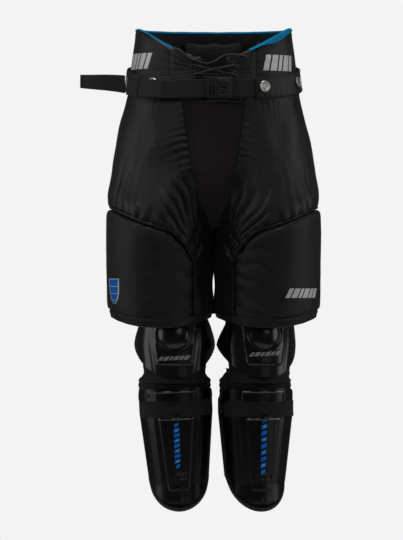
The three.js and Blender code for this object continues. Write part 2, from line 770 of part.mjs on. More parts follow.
function shinPieces(name, shin) {
  const size = { width: SHIN_WIDTH, depth: SHIN_DEPTH };
  addTo(shin, `${name}_upper_plate`, wrap({
    ...size,
    share: (z) => 0.95 * roundOff(shinTop - z + 4, 14),
    low: plateBottom + GAP,
    high: shinTop - 2,
    inset: 0,
    thickness: SHELL_THICKNESS,
    up: 4,
  }), 'blackPlastic');
  addTo(shin, `${name}_shin_shell`, wrap({
    ...size,
    taper: shinTaper,
    share: (z) => 0.96 * roundOff(z - shinBottom - 6, 44),
    low: shinBottom + 7,
    high: plateBottom - GAP,
    inset: 0,
    thickness: SHELL_THICKNESS,
    relief: (x) => SHIN_RIDGE * Math.exp(-((x / 9) ** 2)),
    across: 14,
    up: 8,
  }), 'blackPlastic');
  addTo(shin, `${name}_shin_liner`, wrap({
    ...size,
    taper: shinTaper,
    share: (z) => roundOff(z - shinBottom, 46) * (0.93 + roundOff(shinTop - z + 2, 20) * 0.07),
    low: shinBottom,
    high: shinTop,
    inset: SHELL_THICKNESS + LAYER_GAP,
    thickness: FOAM_THICKNESS,
  }), 'foam');

  // The calf strap runs round behind, from one side edge of the liner to the other.
  const linerInset = SHELL_THICKNESS + LAYER_GAP;
  const strapHalf = SHIN_WIDTH - linerInset - FOAM_THICKNESS / 2;
  const strapStart = -(SHIN_DEPTH - linerInset) * Math.cos(WRAP_ANGLE) + STRAP_GAP;
  const strapPoint = (drop) => (u, v) => {
    const angle = lerp(Math.PI / 2, -Math.PI / 2, u);
    return [
      (strapHalf - drop) * Math.sin(angle),
      (CALF_DEPTH - drop) * Math.cos(angle) + strapStart,
      shinTop - CALF_STRAP_DROP + lerp(-0.5, 0.5, v) * BELT_WIDTH,
    ];
  };
  const strap = sheet(strapPoint(0), strapPoint(WEBBING_THICKNESS), { across: 12, up: 1 });
  addTo(shin, `${name}_calf_strap`, strap, 'webbing');
}

// The suspension strap slopes from the inside of the thigh pad down to the top of the knee liner.
const linerMiddle = GUARD_FORWARD - KNEE_DEPTH + SHELL_THICKNESS + LAYER_GAP + 1.4 * FOAM_THICKNESS;
function suspensionStrap(x) {
  const { width, rise, clearance } = SUSPENSION;
  const slope = linerMiddle + LEG_HEM.front - PAD_THICKNESS - clearance;
  const strapBottom = kneeTop + 6 + LAYER_GAP;
  return new THREE.BoxGeometry(width, WEBBING_THICKNESS, Math.hypot(rise, slope))
    .rotateX(Math.atan2(slope, rise))
    .translate(x, linerMiddle - slope / 2, strapBottom + rise / 2);
}

for (const { name, sign } of SIDES) {
  const { yaw, tilt } = GUARD_TURN[name];
  const x = sign * (GUARD_SIDE_GAP[name] + KNEE_WIDTH);
  addTo(part, `${name}_suspension_strap`, suspensionStrap(x), 'webbing');
  const guard = new THREE.Group();
  guard.position.set(x, GUARD_FORWARD, 0);
  guard.rotation.z = rad(yaw);
  part.add(guard);
  kneePieces(name, guard);

  // The shin tilts about the bottom of the neck.
  const tiltPoint = new THREE.Group();
  tiltPoint.position.z = neckBottom;
  tiltPoint.rotation.y = rad(-tilt);
  guard.add(tiltPoint);
  const shin = new THREE.Group();
  shin.position.z = -neckBottom;
  tiltPoint.add(shin);
  shinPieces(name, shin);
}

export default part;
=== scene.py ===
# %% [markdown]
# Youth hockey pants with built-in shin guards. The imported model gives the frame: bodies, joints
# and plain solids in metres, with +Z up and the front towards -Y. This script dresses that frame
# in cloth, foam, webbing and moulded plastic. A plain solid could simply be painted, but cloth
# only looks like cloth when its folds, seams and thickness are in the mesh, so each soft solid
# is replaced by a piece that is made here.

import json
import math

import bmesh
import bpy
import numpy as np
from mathutils import Matrix, Vector, noise
from mathutils.bvhtree import BVHTree


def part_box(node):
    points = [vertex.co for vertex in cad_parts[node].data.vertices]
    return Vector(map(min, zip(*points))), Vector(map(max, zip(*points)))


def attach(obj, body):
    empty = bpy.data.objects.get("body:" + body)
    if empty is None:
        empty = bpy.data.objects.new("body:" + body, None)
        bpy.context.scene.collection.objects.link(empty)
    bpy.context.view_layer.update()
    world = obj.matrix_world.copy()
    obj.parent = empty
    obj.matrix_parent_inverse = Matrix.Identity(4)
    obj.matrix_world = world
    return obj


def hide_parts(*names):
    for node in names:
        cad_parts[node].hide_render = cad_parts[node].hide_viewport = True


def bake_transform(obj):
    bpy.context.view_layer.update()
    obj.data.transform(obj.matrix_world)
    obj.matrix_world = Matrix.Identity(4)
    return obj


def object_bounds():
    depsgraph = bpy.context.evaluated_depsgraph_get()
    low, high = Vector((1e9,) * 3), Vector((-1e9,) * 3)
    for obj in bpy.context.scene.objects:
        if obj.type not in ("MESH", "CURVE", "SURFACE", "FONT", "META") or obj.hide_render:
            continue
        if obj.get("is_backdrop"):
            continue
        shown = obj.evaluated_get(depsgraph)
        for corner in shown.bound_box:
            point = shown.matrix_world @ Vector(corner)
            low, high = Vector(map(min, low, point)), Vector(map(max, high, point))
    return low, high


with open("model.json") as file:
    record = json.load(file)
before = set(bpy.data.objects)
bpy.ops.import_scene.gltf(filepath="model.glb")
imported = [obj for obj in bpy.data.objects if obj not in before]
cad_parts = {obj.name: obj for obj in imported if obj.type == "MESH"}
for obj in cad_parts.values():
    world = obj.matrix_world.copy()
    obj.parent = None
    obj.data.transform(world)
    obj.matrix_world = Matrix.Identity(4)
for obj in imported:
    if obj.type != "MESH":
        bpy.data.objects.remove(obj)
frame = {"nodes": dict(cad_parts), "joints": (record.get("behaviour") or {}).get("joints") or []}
cad_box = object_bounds()
SIDES = {"left": 1, "right": -1}
MM = 0.001

# %% [markdown]
# ## Measures
# The pants are one rounded tube at the waist that splits into two rounded tubes at the legs.
# Every height and width that matters is read from the frame, so a piece always lands where its
# solid is. The few others, such as how round a section is, are named here once.

# %% Measures from the frame
pad_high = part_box("left_thigh_pad")[1]
hem_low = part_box("left_hem_band")[0]

WAIST_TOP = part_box("waistband")[1].z
HIP_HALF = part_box("seat_panel_left")[1].x
LEG_HALF = (pad_high.x - hem_low.x) / 2
LEG_X = (pad_high.x + hem_low.x) / 2
PAD_TOP = pad_high.z
HEM_BOTTOM = hem_low.z
HEM_FALL = 13 * MM
ROUNDNESS = 2.4
HIP_AXIS = frame["joints"][0]["pos_m"][2]
HIP_BEND_TOP = -0.105
HIP_BEND_BOTTOM = -0.198
print("waist top", round(WAIST_TOP, 3), "pad top", round(PAD_TOP, 3), "leg centre", round(LEG_X, 3))

# %% [markdown]
# ## Sections
# A body section is a superellipse: a circle's formula with a larger exponent, which gives the
# flattened front and back that padded cloth has. One could draw profile curves and loft them,
# but a formula lets every later piece (seam, stitch, pad, strap) ask for the same point.

# %% Points on the body
# height, half-width, depth of the front, depth of the back
STATIONS = np.array([
    [WAIST_TOP, 0.109, 0.080, 0.084],
    [0.030, 0.1155, 0.0865, 0.0905],
    [0.000, 0.118, 0.089, 0.095],
    [-0.030, 0.124, 0.0915, 0.100],
    [-0.060, 0.132, 0.094, 0.104],
    [-0.105, HIP_HALF + 0.0005, 0.097, 0.107],
    [-0.140, HIP_HALF + 0.0035, 0.100, 0.109],
    [-0.170, HIP_HALF + 0.0035, 0.101, 0.109],
    [-0.290, HIP_HALF + 0.0025, 0.101, 0.108],
])


def smooth(t):
    t = np.clip(t, 0, 1)
    return t * t * (3 - 2 * t)


def bump(value, width):
    """A soft hill, 1 where the value is 0."""
    return np.exp(-(value / width) ** 2)


def rounded(x, power):
    return np.sign(x) * np.abs(x) ** power


# %% Sections of the body and the leg
def section(half, front, back, angle):
    """Angle 0 is the front and pi/2 the +X side."""
    s = rounded(np.sin(angle), 2 / ROUNDNESS)
    c = rounded(np.cos(angle), 2 / ROUNDNESS)
    return half * s, -np.where(c > 0, front, back) * c


def station(z, column):
    rows = STATIONS[::-1]
    return np.interp(z, rows[:, 0], rows[:, column])


def station_smooth(z, column):
    """Averages the straight steps between stations, so that the cloth has no kinks."""
    reach = 14 * MM
    steps = np.linspace(-1, 1, 7)
    return sum(station(np.clip(z + s * reach, -0.4, WAIST_TOP), column) for s in steps) / len(steps)


def body_xy(angle, z, out=0.0):
    half, front, back = (station_smooth(z, c) + out for c in (1, 2, 3))
    return section(half, front, back, angle)


def body_angle(x, z):
    """The angle, on the front half, at which the body reaches x."""
    share = np.clip(x / station_smooth(z, 1), -1, 1)
    return np.arcsin(rounded(share, ROUNDNESS / 2))


def leg_xy(angle, z, out=0.0):
    """Angle 0 is the middle of the leg's front and pi/2 its outer side, on the wearer's left leg."""
    t = np.clip((PAD_TOP - z) / (PAD_TOP - HEM_BOTTOM), 0, 1)
    x, y = section(LEG_HALF - 1.3 * MM * t + out, 0.106 - 0.005 * t + out, 0.110 - 0.006 * t + out, angle)
    return LEG_X + x, y


# %% Lines round the waist
def belt_z(angle):
    """Middle of the belt: it dips in front and rises behind."""
    y = body_xy(angle, np.zeros_like(angle))[1]
    return 0.008 + y * np.where(y < 0, 0.184, 0.11)


def waist_top_z(angle):
    """The waistband's top edge dips towards the fly."""
    x, y = body_xy(angle, np.full_like(angle, WAIST_TOP))
    dip = 0.049 * (1 - np.clip(np.abs(x) / 0.109, 0, 1) ** 1.35)
    return np.where(y > 0, WAIST_TOP, WAIST_TOP - dip)


# %% [markdown]
# ## Sheets of mesh
# Most pieces here are a sheet that bends round the body: two numbers, u along it and v up it,
# give a point. A grid of such points makes clean quads, which subdivide and unwrap well.
# Solidify then gives the sheet its thickness, inwards, as a real layer has.

# %% Sheet builder
def new_object(name, points, faces):
    mesh = bpy.data.meshes.new(name)
    mesh.from_pydata([tuple(p) for p in points], [], [tuple(f) for f in faces])
    mesh.validate()
    piece = bpy.data.objects.new(name, mesh)
    bpy.context.scene.collection.objects.link(piece)
    return piece


def as_points(x, y, z):
    """Puts three arrays, or numbers, together as points."""
    return np.stack(np.broadcast_arrays(x, y, z), -1)


def grid_faces(nu, nv, ring=False):
    """Faces of a grid whose points run along u first. A ring joins the last column to the first."""
    columns = nu if ring else nu - 1
    i, j = np.meshgrid(np.arange(columns), np.arange(nv - 1))
    a, b = j * nu + i, j * nu + (i + 1) % nu
    return np.stack([a, b, b + nu, a + nu], -1).reshape(-1, 4)


def sheet(name, surface, nu, nv, ring=False, mirror=False):
    """surface(u, v) gives x, y, z arrays. Seen from outside, u runs right and v runs up."""
    across = np.linspace(0, 1, nu + 1)[:-1] if ring else np.linspace(0, 1, nu)
    u, v = np.meshgrid(across, np.linspace(0, 1, nv))
    points = as_points(*surface(u, v)).reshape(-1, 3)
    faces = grid_faces(nu, nv, ring)
    if mirror:
        points = points * (-1, 1, 1)
        faces = faces[:, ::-1]
    return new_object(name, points, faces)


# %% Thickness and edges
def apply_modifiers(piece):
    """Bakes the modifiers into the mesh, so that the piece is plain when it is hung on a body."""
    graph = bpy.context.evaluated_depsgraph_get()
    mesh = bpy.data.meshes.new_from_object(piece.evaluated_get(graph), depsgraph=graph)
    piece.modifiers.clear()
    piece.data = mesh
    return piece


def thicken(piece, thickness, round_edge=True):
    """Gives a sheet its thickness inwards, and rolls its cut edges a little."""
    solid = piece.modifiers.new("thickness", "SOLIDIFY")
    solid.thickness = thickness
    solid.offset = -1
    solid.use_even_offset = False
    if round_edge:
        bevel = piece.modifiers.new("edge", "BEVEL")
        bevel.width = thickness * 0.4
        bevel.segments = 3
        bevel.limit_method = "ANGLE"
        bevel.angle_limit = math.radians(55)
    return apply_modifiers(piece)


# %% Points, UVs and shading
def points_of(piece):
    co = np.empty(len(piece.data.vertices) * 3)
    piece.data.vertices.foreach_get("co", co)
    return co.reshape(-1, 3)


def set_points(piece, co):
    piece.data.vertices.foreach_set("co", co.ravel())
    piece.data.update()
    return piece


def unwrap_round(piece, centre=(0.0, 0.0), radius=0.1):
    """UVs in metres: round an upright line, and up. The cut is at the back of that line."""
    mesh = piece.data
    layer = mesh.uv_layers.get("cloth") or mesh.uv_layers.new(name="cloth")
    co = points_of(piece)
    loops = np.empty(len(mesh.loops), dtype=np.int32)
    mesh.loops.foreach_get("vertex_index", loops)
    angle = np.arctan2(co[:, 0] - centre[0], -(co[:, 1] - centre[1]))
    uv = np.stack([angle * radius, co[:, 2]], -1)[loops]
    starts = np.empty(len(mesh.polygons), dtype=np.int32)
    mesh.polygons.foreach_get("loop_start", starts)
    owner = np.searchsorted(starts, np.arange(len(loops)), side="right") - 1
    first = uv[starts][owner]
    turn = 2 * math.pi * radius
    uv[:, 0] -= turn * np.round((uv[:, 0] - first[:, 0]) / turn)
    layer.data.foreach_set("uv", uv.ravel())
    return piece


def shade_smooth(piece, sharp=40):
    mesh = piece.data
    mesh.polygons.foreach_set("use_smooth", np.ones(len(mesh.polygons), dtype=bool))
    mesh.set_sharp_from_angle(angle=math.radians(sharp))
    return piece


# %% The last step of each piece
def hang(piece, body, replaces=(), sharp=40):
    """The last step of a piece that has its materials: its body and the solids it stands for. A body that is
    not a name, such as the tuple from hip_bend, is not used: that piece is only baked where it stands.
    """
    shade_smooth(piece, sharp)
    if isinstance(body, str):
        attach(piece, body)
    else:
        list(body)
        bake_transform(piece)
    if replaces:
        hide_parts(*replaces)
    return piece


def finish_piece(piece, body, material, replaces=(), sharp=40):
    """As hang, for a piece of one material."""
    piece.data.materials.clear()
    piece.data.materials.append(material)
    return hang(piece, body, replaces, sharp)


def hip_bend(side):
    """A piece that goes from the waist to a thigh: its two bodies, and where the bend starts and ends."""
    x = SIDES[side] * LEG_X
    return "waist", f"{side}_thigh", (x, 0, HIP_BEND_TOP), (x, 0, HIP_BEND_BOTTOM)


# %% Uneven surfaces
def ripple(points, scale, seed):
    """Smooth noise from -1 to 1 at each point, stretched by scale along x, y and z."""
    offset = Vector((seed * 3.7, seed * 1.3, seed * 2.1))
    return np.array([noise.noise(Vector(p) + offset) for p in points * np.array(scale)])


# %% [markdown]
# ## Finishes
# Cloth is seen through three things: its weave, its sheen, and how unevenly it has been rubbed
# and creased. A picture texture could show all three, but a node pattern stays sharp close up
# and carries its own scale in metres. Constants such as sheen are set on the shader itself.

# %% Node helpers
def shader(name, colour, roughness, **sockets):
    material = bpy.data.materials.new(name)
    material.use_nodes = True
    nodes = material.node_tree.nodes
    principled = nodes["Principled BSDF"]
    principled.inputs["Base Color"].default_value = (*colour, 1)
    principled.inputs["Roughness"].default_value = roughness
    for label, value in sockets.items():
        principled.inputs[label.replace("_", " ")].default_value = value
    return material, nodes, material.node_tree.links, principled


def add_noise(nodes, links, scale, detail=4.0, source=None):
    node = nodes.new("ShaderNodeTexNoise")
    node.inputs["Scale"].default_value = scale
    node.inputs["Detail"].default_value = detail
    coordinates = source or nodes.new("ShaderNodeTexCoord").outputs["Object"]
    links.new(coordinates, node.inputs["Vector"])
    return node.outputs["Fac"]


def add_range(nodes, links, value, low, high, start=0.3, end=0.7):
    node = nodes.new("ShaderNodeMapRange")
    node.inputs["From Min"].default_value = start
    node.inputs["From Max"].default_value = end
    node.inputs["To Min"].default_value = low
    node.inputs["To Max"].default_value = high
    links.new(value, node.inputs["Value"])
    return node.outputs["Result"]


# %% Node helpers for relief and colour
def add_math(nodes, links, operation, a, b=None):
    node = nodes.new("ShaderNodeMath")
    node.operation = operation
    for socket, value in zip(node.inputs, (a, b)):
        if isinstance(value, (int, float)):
            socket.default_value = value
        elif value is not None:
            links.new(value, socket)
    return node.outputs["Value"]


def add_bump(nodes, links, principled, height, distance, strength=1.0, under=None):
    node = nodes.new("ShaderNodeBump")
    node.inputs["Distance"].default_value = distance
    node.inputs["Strength"].default_value = strength
    links.new(height, node.inputs["Height"])
    if under:
        links.new(under, node.inputs["Normal"])
    links.new(node.outputs["Normal"], principled.inputs["Normal"])
    return node.outputs["Normal"]


def vary_colour(nodes, links, principled, dark, light, factor):
    mix = nodes.new("ShaderNodeMix")
    mix.data_type = "RGBA"
    mix.inputs["A"].default_value = (*dark, 1)
    mix.inputs["B"].default_value = (*light, 1)
    links.new(factor, mix.inputs["Factor"])
    links.new(mix.outputs["Result"], principled.inputs["Base Color"])


def threads(nodes, links, pitch_u, pitch_v, twill=0.0):
    """Height of crossing threads, from UVs in metres. twill leans the rows."""
    place = nodes.new("ShaderNodeUVMap")
    place.uv_map = "cloth"
    split = nodes.new("ShaderNodeSeparateXYZ")
    links.new(place.outputs["UV"], split.inputs["Vector"])
    along = add_math(nodes, links, "MULTIPLY", split.outputs["X"], 2 * math.pi / pitch_u)
    up = add_math(nodes, links, "MULTIPLY", split.outputs["Y"], 2 * math.pi / pitch_v)
    if twill:
        lean = add_math(nodes, links, "MULTIPLY", up, twill)
        along = add_math(nodes, links, "ADD", along, lean)
    warp = add_math(nodes, links, "SINE", along)
    weft = add_math(nodes, links, "SINE", up)
    return add_math(nodes, links, "MULTIPLY", warp, weft)


# %% Cloth, foam and webbing
def cloth(name, dark, light, roughness, sheen, pitch, depth,
          crease=0.6, spread=0.12, twill=0.0, level=0.30):
    """A woven or knitted face: thread height, small creases, and patches that are rubbed duller."""
    material, nodes, links, principled = shader(
        name, light, roughness, Sheen_Weight=sheen, Sheen_Roughness=0.45, Specular_IOR_Level=level)
    patches = add_noise(nodes, links, 14.0)
    vary_colour(nodes, links, principled, dark, light, add_range(nodes, links, patches, 0.0, 1.0))
    fine = add_noise(nodes, links, 260.0, 2.0)
    rough = add_range(nodes, links, fine, roughness - spread / 2, roughness + spread / 2)
    links.new(rough, principled.inputs["Roughness"])
    creases = add_noise(nodes, links, 70.0, 5.0)
    under = add_bump(nodes, links, principled, creases, 0.0012, crease)
    add_bump(nodes, links, principled, threads(nodes, links, *pitch, twill), depth, 0.5, under)
    return material


NYLON = cloth("satin_nylon", (0.0046, 0.0048, 0.0057), (0.0082, 0.0085, 0.0098), 0.36, 0.04,
              (0.0009, 0.0009), 0.00010)
PAD_COVER = cloth("pad_cover_nylon", (0.0034, 0.0034, 0.0038), (0.0056, 0.0056, 0.0061), 0.46, 0.035,
                  (0.0014, 0.0014), 0.00016)
KNIT = cloth("stretch_knit", (0.0125, 0.0088, 0.0092), (0.0185, 0.0135, 0.0140), 0.85, 0.05,
             (0.0016, 0.0011), 0.00018, crease=0.25)
BINDING = cloth("blue_tricot", (0.000, 0.13, 0.30), (0.000, 0.27, 0.56), 0.75, 0.01,
                (0.0010, 0.0010), 0.00010, crease=0.3, level=0.12)
LINING = cloth("black_tricot", (0.008, 0.008, 0.009), (0.013, 0.013, 0.014), 0.8, 0.05,
               (0.0012, 0.0012), 0.00012, crease=0.4)
FOAM = cloth("brushed_foam", (0.0042, 0.0042, 0.0046), (0.0078, 0.0078, 0.0083), 0.85, 0.06,
             (0.0022, 0.0022), 0.00022, crease=0.5)
WEBBING = cloth("belt_webbing", (0.0055, 0.0055, 0.0055), (0.0105, 0.0105, 0.0105), 0.6, 0.045,
                (0.0030, 0.0017), 0.00035, crease=0.15, twill=0.5)
THREAD = cloth("black_thread", (0.012, 0.012, 0.013), (0.022, 0.022, 0.024), 0.5, 0.05,
               (0.0008, 0.0008), 0.00006, crease=0.1)
LACE = cloth("black_braid", (0.016, 0.016, 0.017), (0.032, 0.032, 0.034), 0.55, 0.06,
             (0.0016, 0.0016), 0.0002, crease=0.1, twill=1.0)
print("cloths:", len(bpy.data.materials))


# %% Plastics and metal
def plastic(name, dark, light, roughness, grain, coat=0.0, scuff=0.08, level=0.5):
    """Moulded plastic: fine grain, faint colour drift, and scuffs that dull the gloss."""
    material, nodes, links, principled = shader(
        name, light, roughness, Coat_Weight=coat, Coat_Roughness=0.08, Specular_IOR_Level=level)
    drift = add_noise(nodes, links, 22.0)
    vary_colour(nodes, links, principled, dark, light, add_range(nodes, links, drift, 0.0, 1.0))
    scuffs = add_noise(nodes, links, 90.0, 8.0)
    rough = add_range(nodes, links, scuffs, roughness, roughness + scuff, 0.45, 0.75)
    links.new(rough, principled.inputs["Roughness"])
    add_bump(nodes, links, principled, add_noise(nodes, links, 900.0, 2.0), grain, 0.4)
    return material


KNEE_GLOSS = plastic("polished_knee_plastic", (0.0026, 0.0026, 0.0030), (0.0046, 0.0046, 0.0052), 0.25,
                     0.00004, coat=0.25, level=0.32)
SHIN_SATIN = plastic("satin_shin_plastic", (0.0016, 0.0016, 0.0018), (0.0028, 0.0028, 0.0030), 0.30,
                     0.00008, level=0.24)
BUCKLE = plastic("buckle_plastic", (0.005, 0.005, 0.005), (0.009, 0.009, 0.009), 0.38, 0.00010)
PLATE = plastic("white_pad_plate", (0.55, 0.55, 0.52), (0.68, 0.68, 0.65), 0.45, 0.00010)
MARK_WHITE = plastic("raised_white_print", (0.55, 0.56, 0.57), (0.72, 0.73, 0.74), 0.35, 0.00003)
MARK_SILVER = plastic("raised_silver_print", (0.16, 0.16, 0.17), (0.26, 0.26, 0.27), 0.30, 0.00003)
MARK_BLUE = plastic("raised_blue_print", (0.000, 0.11, 0.42), (0.000, 0.17, 0.64), 0.40, 0.00003,
                    level=0.2)
MARK_PALE = plastic("raised_pale_print", (0.10, 0.28, 0.50), (0.16, 0.38, 0.62), 0.35, 0.00003)


def nickel():
    material, nodes, links, principled = shader("nickel", (0.58, 0.55, 0.50), 0.34, Metallic=1.0)
    stains = add_noise(nodes, links, 300.0, 6.0)
    rough = add_range(nodes, links, stains, 0.28, 0.46)
    links.new(rough, principled.inputs["Roughness"])
    vary_colour(nodes, links, principled, (0.36, 0.34, 0.31), (0.66, 0.63, 0.58),
                add_range(nodes, links, stains, 0.0, 1.0))
    add_bump(nodes, links, principled, add_noise(nodes, links, 1400.0, 2.0), 0.00003, 0.3)
    return material


NICKEL = nickel()
print("finishes:", len(bpy.data.materials))

# %% [markdown]
# ## The shell halves
# The upper body of the pants is a satin nylon shell, cut as a left and a right half. Each half
# starts as the side of the waist and ends as a closed loop round the leg, so its surface is a
# mix of the body's section and the leg's section, one turning into the other down the hips.
# Modelling it by hand from planes is possible, but with a formula the two halves, the stretch
# panel between them and the pads below all agree to the millimetre.

# %% Shell surface
PAD_DEPTH = 12 * MM
CORNER = math.radians(41)
PAD_FRONT_FALL = 29 * MM
PAD_CORNER_FALL = 46 * MM
CROTCH_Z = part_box("stretch_gusset")[0].z
GUSSET_TOP_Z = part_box("stretch_gusset")[1].z
SPLIT_TOP = HIP_AXIS + 28 * MM
SPLIT_BOTTOM = CROTCH_Z - 13 * MM
SHELL_INNER_LOW = -0.215
SHELL_IN_PAD = 13 * MM


def pad_top_z(theta):
    """Top edge of the thigh pad: high outside, lower in front and behind, low at its inner corners."""
    from_front = np.minimum(theta, np.pi - theta)
    rise = PAD_FRONT_FALL * np.sin(np.clip(from_front, 0, np.pi / 2))
    fall = PAD_CORNER_FALL * (np.clip(-from_front, 0, CORNER) / CORNER) ** 1.5
    return PAD_TOP - PAD_FRONT_FALL + rise - fall


def shell_xyz(angle, z, out=0.0):
    """The left half. Angle 0 is the front of the body and pi its back."""
    theta = 2 * angle - np.pi / 2
    over_pad = np.minimum(theta, np.pi - theta)
    tuck = smooth((pad_top_z(theta) + 3 * MM - z) / (10 * MM)) * smooth((over_pad + CORNER) / 0.25)
    above_pad = z - pad_top_z(theta)
    puff = 2.5 * MM * bump(above_pad - 16 * MM, 15 * MM) * smooth(over_pad + 0.4)
    out = out + puff - (PAD_DEPTH + 3 * MM) * tuck
    share = smooth((SPLIT_TOP - z) / (SPLIT_TOP - SPLIT_BOTTOM))
    body_x, body_y = body_xy(angle, z, out)
    leg_x, leg_y = leg_xy(theta, z, out - 2.5 * MM + 4.6 * MM * smooth((-over_pad - 0.6) / 0.4))
    full = 1 + 0.085 * np.sin(np.pi * share) * smooth((z + 0.24) / 0.04)
    return body_x + (leg_x - body_x) * share, (body_y + (leg_y - body_y) * share) * full, z


def gusset_half(z):
    return np.interp(z, [SPLIT_BOTTOM, CROTCH_Z + 2 * MM, -0.161, -0.100, -0.025],
                     [0.0035, 0.008, 0.0215, 0.0345, 0.0445])


# %% Where the shell meets the stretch panel
LEVELS = np.linspace(-0.3, 0.0, 151)
FAN = np.linspace(0, np.pi / 2, 240)
EDGE = np.array([np.interp(gusset_half(z), shell_xyz(FAN, np.full_like(FAN, z))[0], FAN) for z in LEVELS])


def gusset_angle(z):
    return np.interp(z, LEVELS, EDGE)


def seam_z(angle):
    """The seam that hides under the belt."""
    return belt_z(angle) - 15.5 * MM


def shell_low_z(angle):
    """The shell ends inside the pad, and on the inner side where the leg panel takes over."""
    theta = 2 * angle - np.pi / 2
    over_pad = np.minimum(theta, np.pi - theta)
    inner = smooth((over_pad + np.pi / 2) / (np.pi / 2 - CORNER))
    corner_z = PAD_TOP - PAD_FRONT_FALL - PAD_CORNER_FALL
    hidden = pad_top_z(theta) - SHELL_IN_PAD
    inner_low = SHELL_INNER_LOW + (corner_z - SHELL_IN_PAD - SHELL_INNER_LOW) * inner
    return np.where(over_pad > -CORNER, hidden, inner_low)


print("crotch at", round(CROTCH_Z, 3), "gusset edge angle there", round(float(gusset_angle(CROTCH_Z)), 3))


# %% [markdown]
# Satin nylon over loose padding never lies flat. It gathers where it is sewn to the thick thigh
# pads, runs in diagonals towards the crotch, and puckers sideways along the stretch panel.
# Sculpting would do it, and so would a cloth simulation of the whole garment; here each family
# of folds is a wave whose line wanders with noise, which places every fold where it belongs.

# %% Folds
def folds(along, across, wave, seed, wander=0.5):
    """Rounded ridges with narrow valleys between them, from 0 to 1, whose lines wander."""
    spot = np.stack([along, across, np.zeros_like(along)], -1)
    phase = along / wave + wander * ripple(spot, (18, 26, 1), seed)
    strength = 0.62 + 0.55 * ripple(spot, (40, 16, 1), seed + 5)
    return np.abs(np.sin(np.pi * phase)) ** 0.75 * np.clip(strength, 0.1, 1.2)


def push(piece, amount):
    """Moves every point along its own normal."""
    normals = np.empty(len(piece.data.vertices) * 3)
    piece.data.vertex_normals.foreach_get("vector", normals)
    return set_points(piece, points_of(piece) + normals.reshape(-1, 3) * np.asarray(amount)[:, None])


def keep_apart(piece, sign):
    """The legs touch but never cross the middle."""
    points = points_of(piece)
    points[:, 0] = sign * np.maximum(points[:, 0] * sign, 0.03 * MM)
    return set_points(piece, points)


def shell_folds(co, angle, seed):
    x, y, z = np.abs(co[:, 0]), co[:, 1], co[:, 2]
    round_arc = angle * 0.125
    theta = 2 * angle - np.pi / 2
    above = z - pad_top_z(theta)
    front = smooth((-y - 0.01) / 0.05)
    gather = np.exp(-np.clip(above, 0, 1) / 0.034) * smooth((above + 0.012) / 0.008)
    lean = above * (0.35 + 0.5 * front)
    tucks = gather * folds(round_arc + lean * 0.5, z, 0.0135, seed)
    spread = np.arctan2(x + 0.004, z + 0.262)
    reach = np.hypot(x, z + 0.215)
    ray = np.exp(-((reach - 0.062) / 0.045) ** 2) * smooth((0.105 - x) / 0.05)
    rays = ray * folds(spread * 0.14, reach, 0.0165, seed + 1, 0.7)
    edge = np.exp(-np.clip(x - gusset_half(z), 0, 1) / 0.017) * front
    level = np.exp(-((z + 0.088) / 0.042) ** 2)
    puckers = edge * level * folds(z + 0.18 * x, x, 0.0098, seed + 2, 0.8)
    seam = np.exp(-np.clip(seam_z(angle) - z, 0, 1) / 0.012) * folds(round_arc, z, 0.010, seed + 3)
    drape = ripple(co, (14, 14, 9), seed + 4)
    rumple = ripple(co, (42, 42, 26), seed + 5)
    total = 5.0 * tucks + 5.2 * rays + 2.8 * puckers + 1.1 * seam + 2.8 * drape + 1.6 * rumple
    hidden = smooth((above + 0.016) / 0.012)
    calm = 0.35 + 0.65 * smooth((seam_z(angle) - z) / 0.01)
    return (total - 1.2) * MM * hidden * calm


# %% Build the shell halves
def shell_spot(u, v):
    """Angle and height on the shell."""
    top = seam_z(gusset_angle(GUSSET_TOP_Z) * (1 - u) + np.pi * u) + 4 * MM
    low = shell_low_z(np.pi * u)
    z = low + (top - low) * v
    start = gusset_angle(z)
    return start + (np.pi - start) * u, z


def shell_surface(u, v):
    return shell_xyz(*shell_spot(u, v))


def lined(piece, thickness, outside, inside):
    """Thickness inwards, with the lining as the material of the inner face."""
    piece.data.materials.append(outside)
    piece.data.materials.append(inside)
    solid = piece.modifiers.new("thickness", "SOLIDIFY")
    solid.thickness = thickness
    solid.offset = -1
    solid.material_offset = 1
    apply_modifiers(piece)
    return piece


SHELL_GRID = np.meshgrid(np.linspace(0, 1, 200), np.linspace(0, 1, 126))
SHELL_ANGLES = shell_spot(*SHELL_GRID)[0].ravel()
for side, sign in SIDES.items():
    shell = sheet(f"shell_{side}", shell_surface, 200, 126, mirror=sign < 0)
    push(shell, shell_folds(points_of(shell), SHELL_ANGLES, 3 if side == "left" else 11))
    keep_apart(shell, sign)
    lined(shell, 4 * MM, NYLON, LINING)
    unwrap_round(shell)
    hang(shell, hip_bend(side), (f"front_panel_{side}", f"seat_panel_{side}"))
    print(shell.name, len(shell.data.polygons), "faces")

# %% [markdown]
# ## Stretch panel
# Between the shell halves runs a matte knitted panel that lets the hips spread. It lies a
# little behind the shell's folded edges and carries on under the crotch to the seat seam.
# Its surface is found from the shell's own edge at each height, so the two cannot part.

# %% Build the stretch panel
def gusset_surface(u, v):
    z = SPLIT_BOTTOM + 3 * MM + (GUSSET_TOP_Z + 1 * MM - SPLIT_BOTTOM) * v
    edge_x, edge_y, edge_z = shell_xyz(gusset_angle(z) + 0.035, z)
    side_share = 2 * u - 1
    crown = (1 - side_share ** 2) * np.interp(z, [-0.20, -0.12, -0.02], [0.001, 0.004, 0.0055])
    y = edge_y + 2.6 * MM - crown
    return edge_x * side_share, y, z


def saddle_surface(u, v):
    """The same panel where it passes under the crotch, from the front to the back."""
    turn = np.pi * (1 - v)
    half_run = abs(float(shell_xyz(gusset_angle(CROTCH_Z), CROTCH_Z)[1])) + 4 * MM
    return (2 * u - 1) * 13 * MM, -half_run * np.cos(turn), CROTCH_Z - 4 * MM - 12 * MM * np.sin(turn)


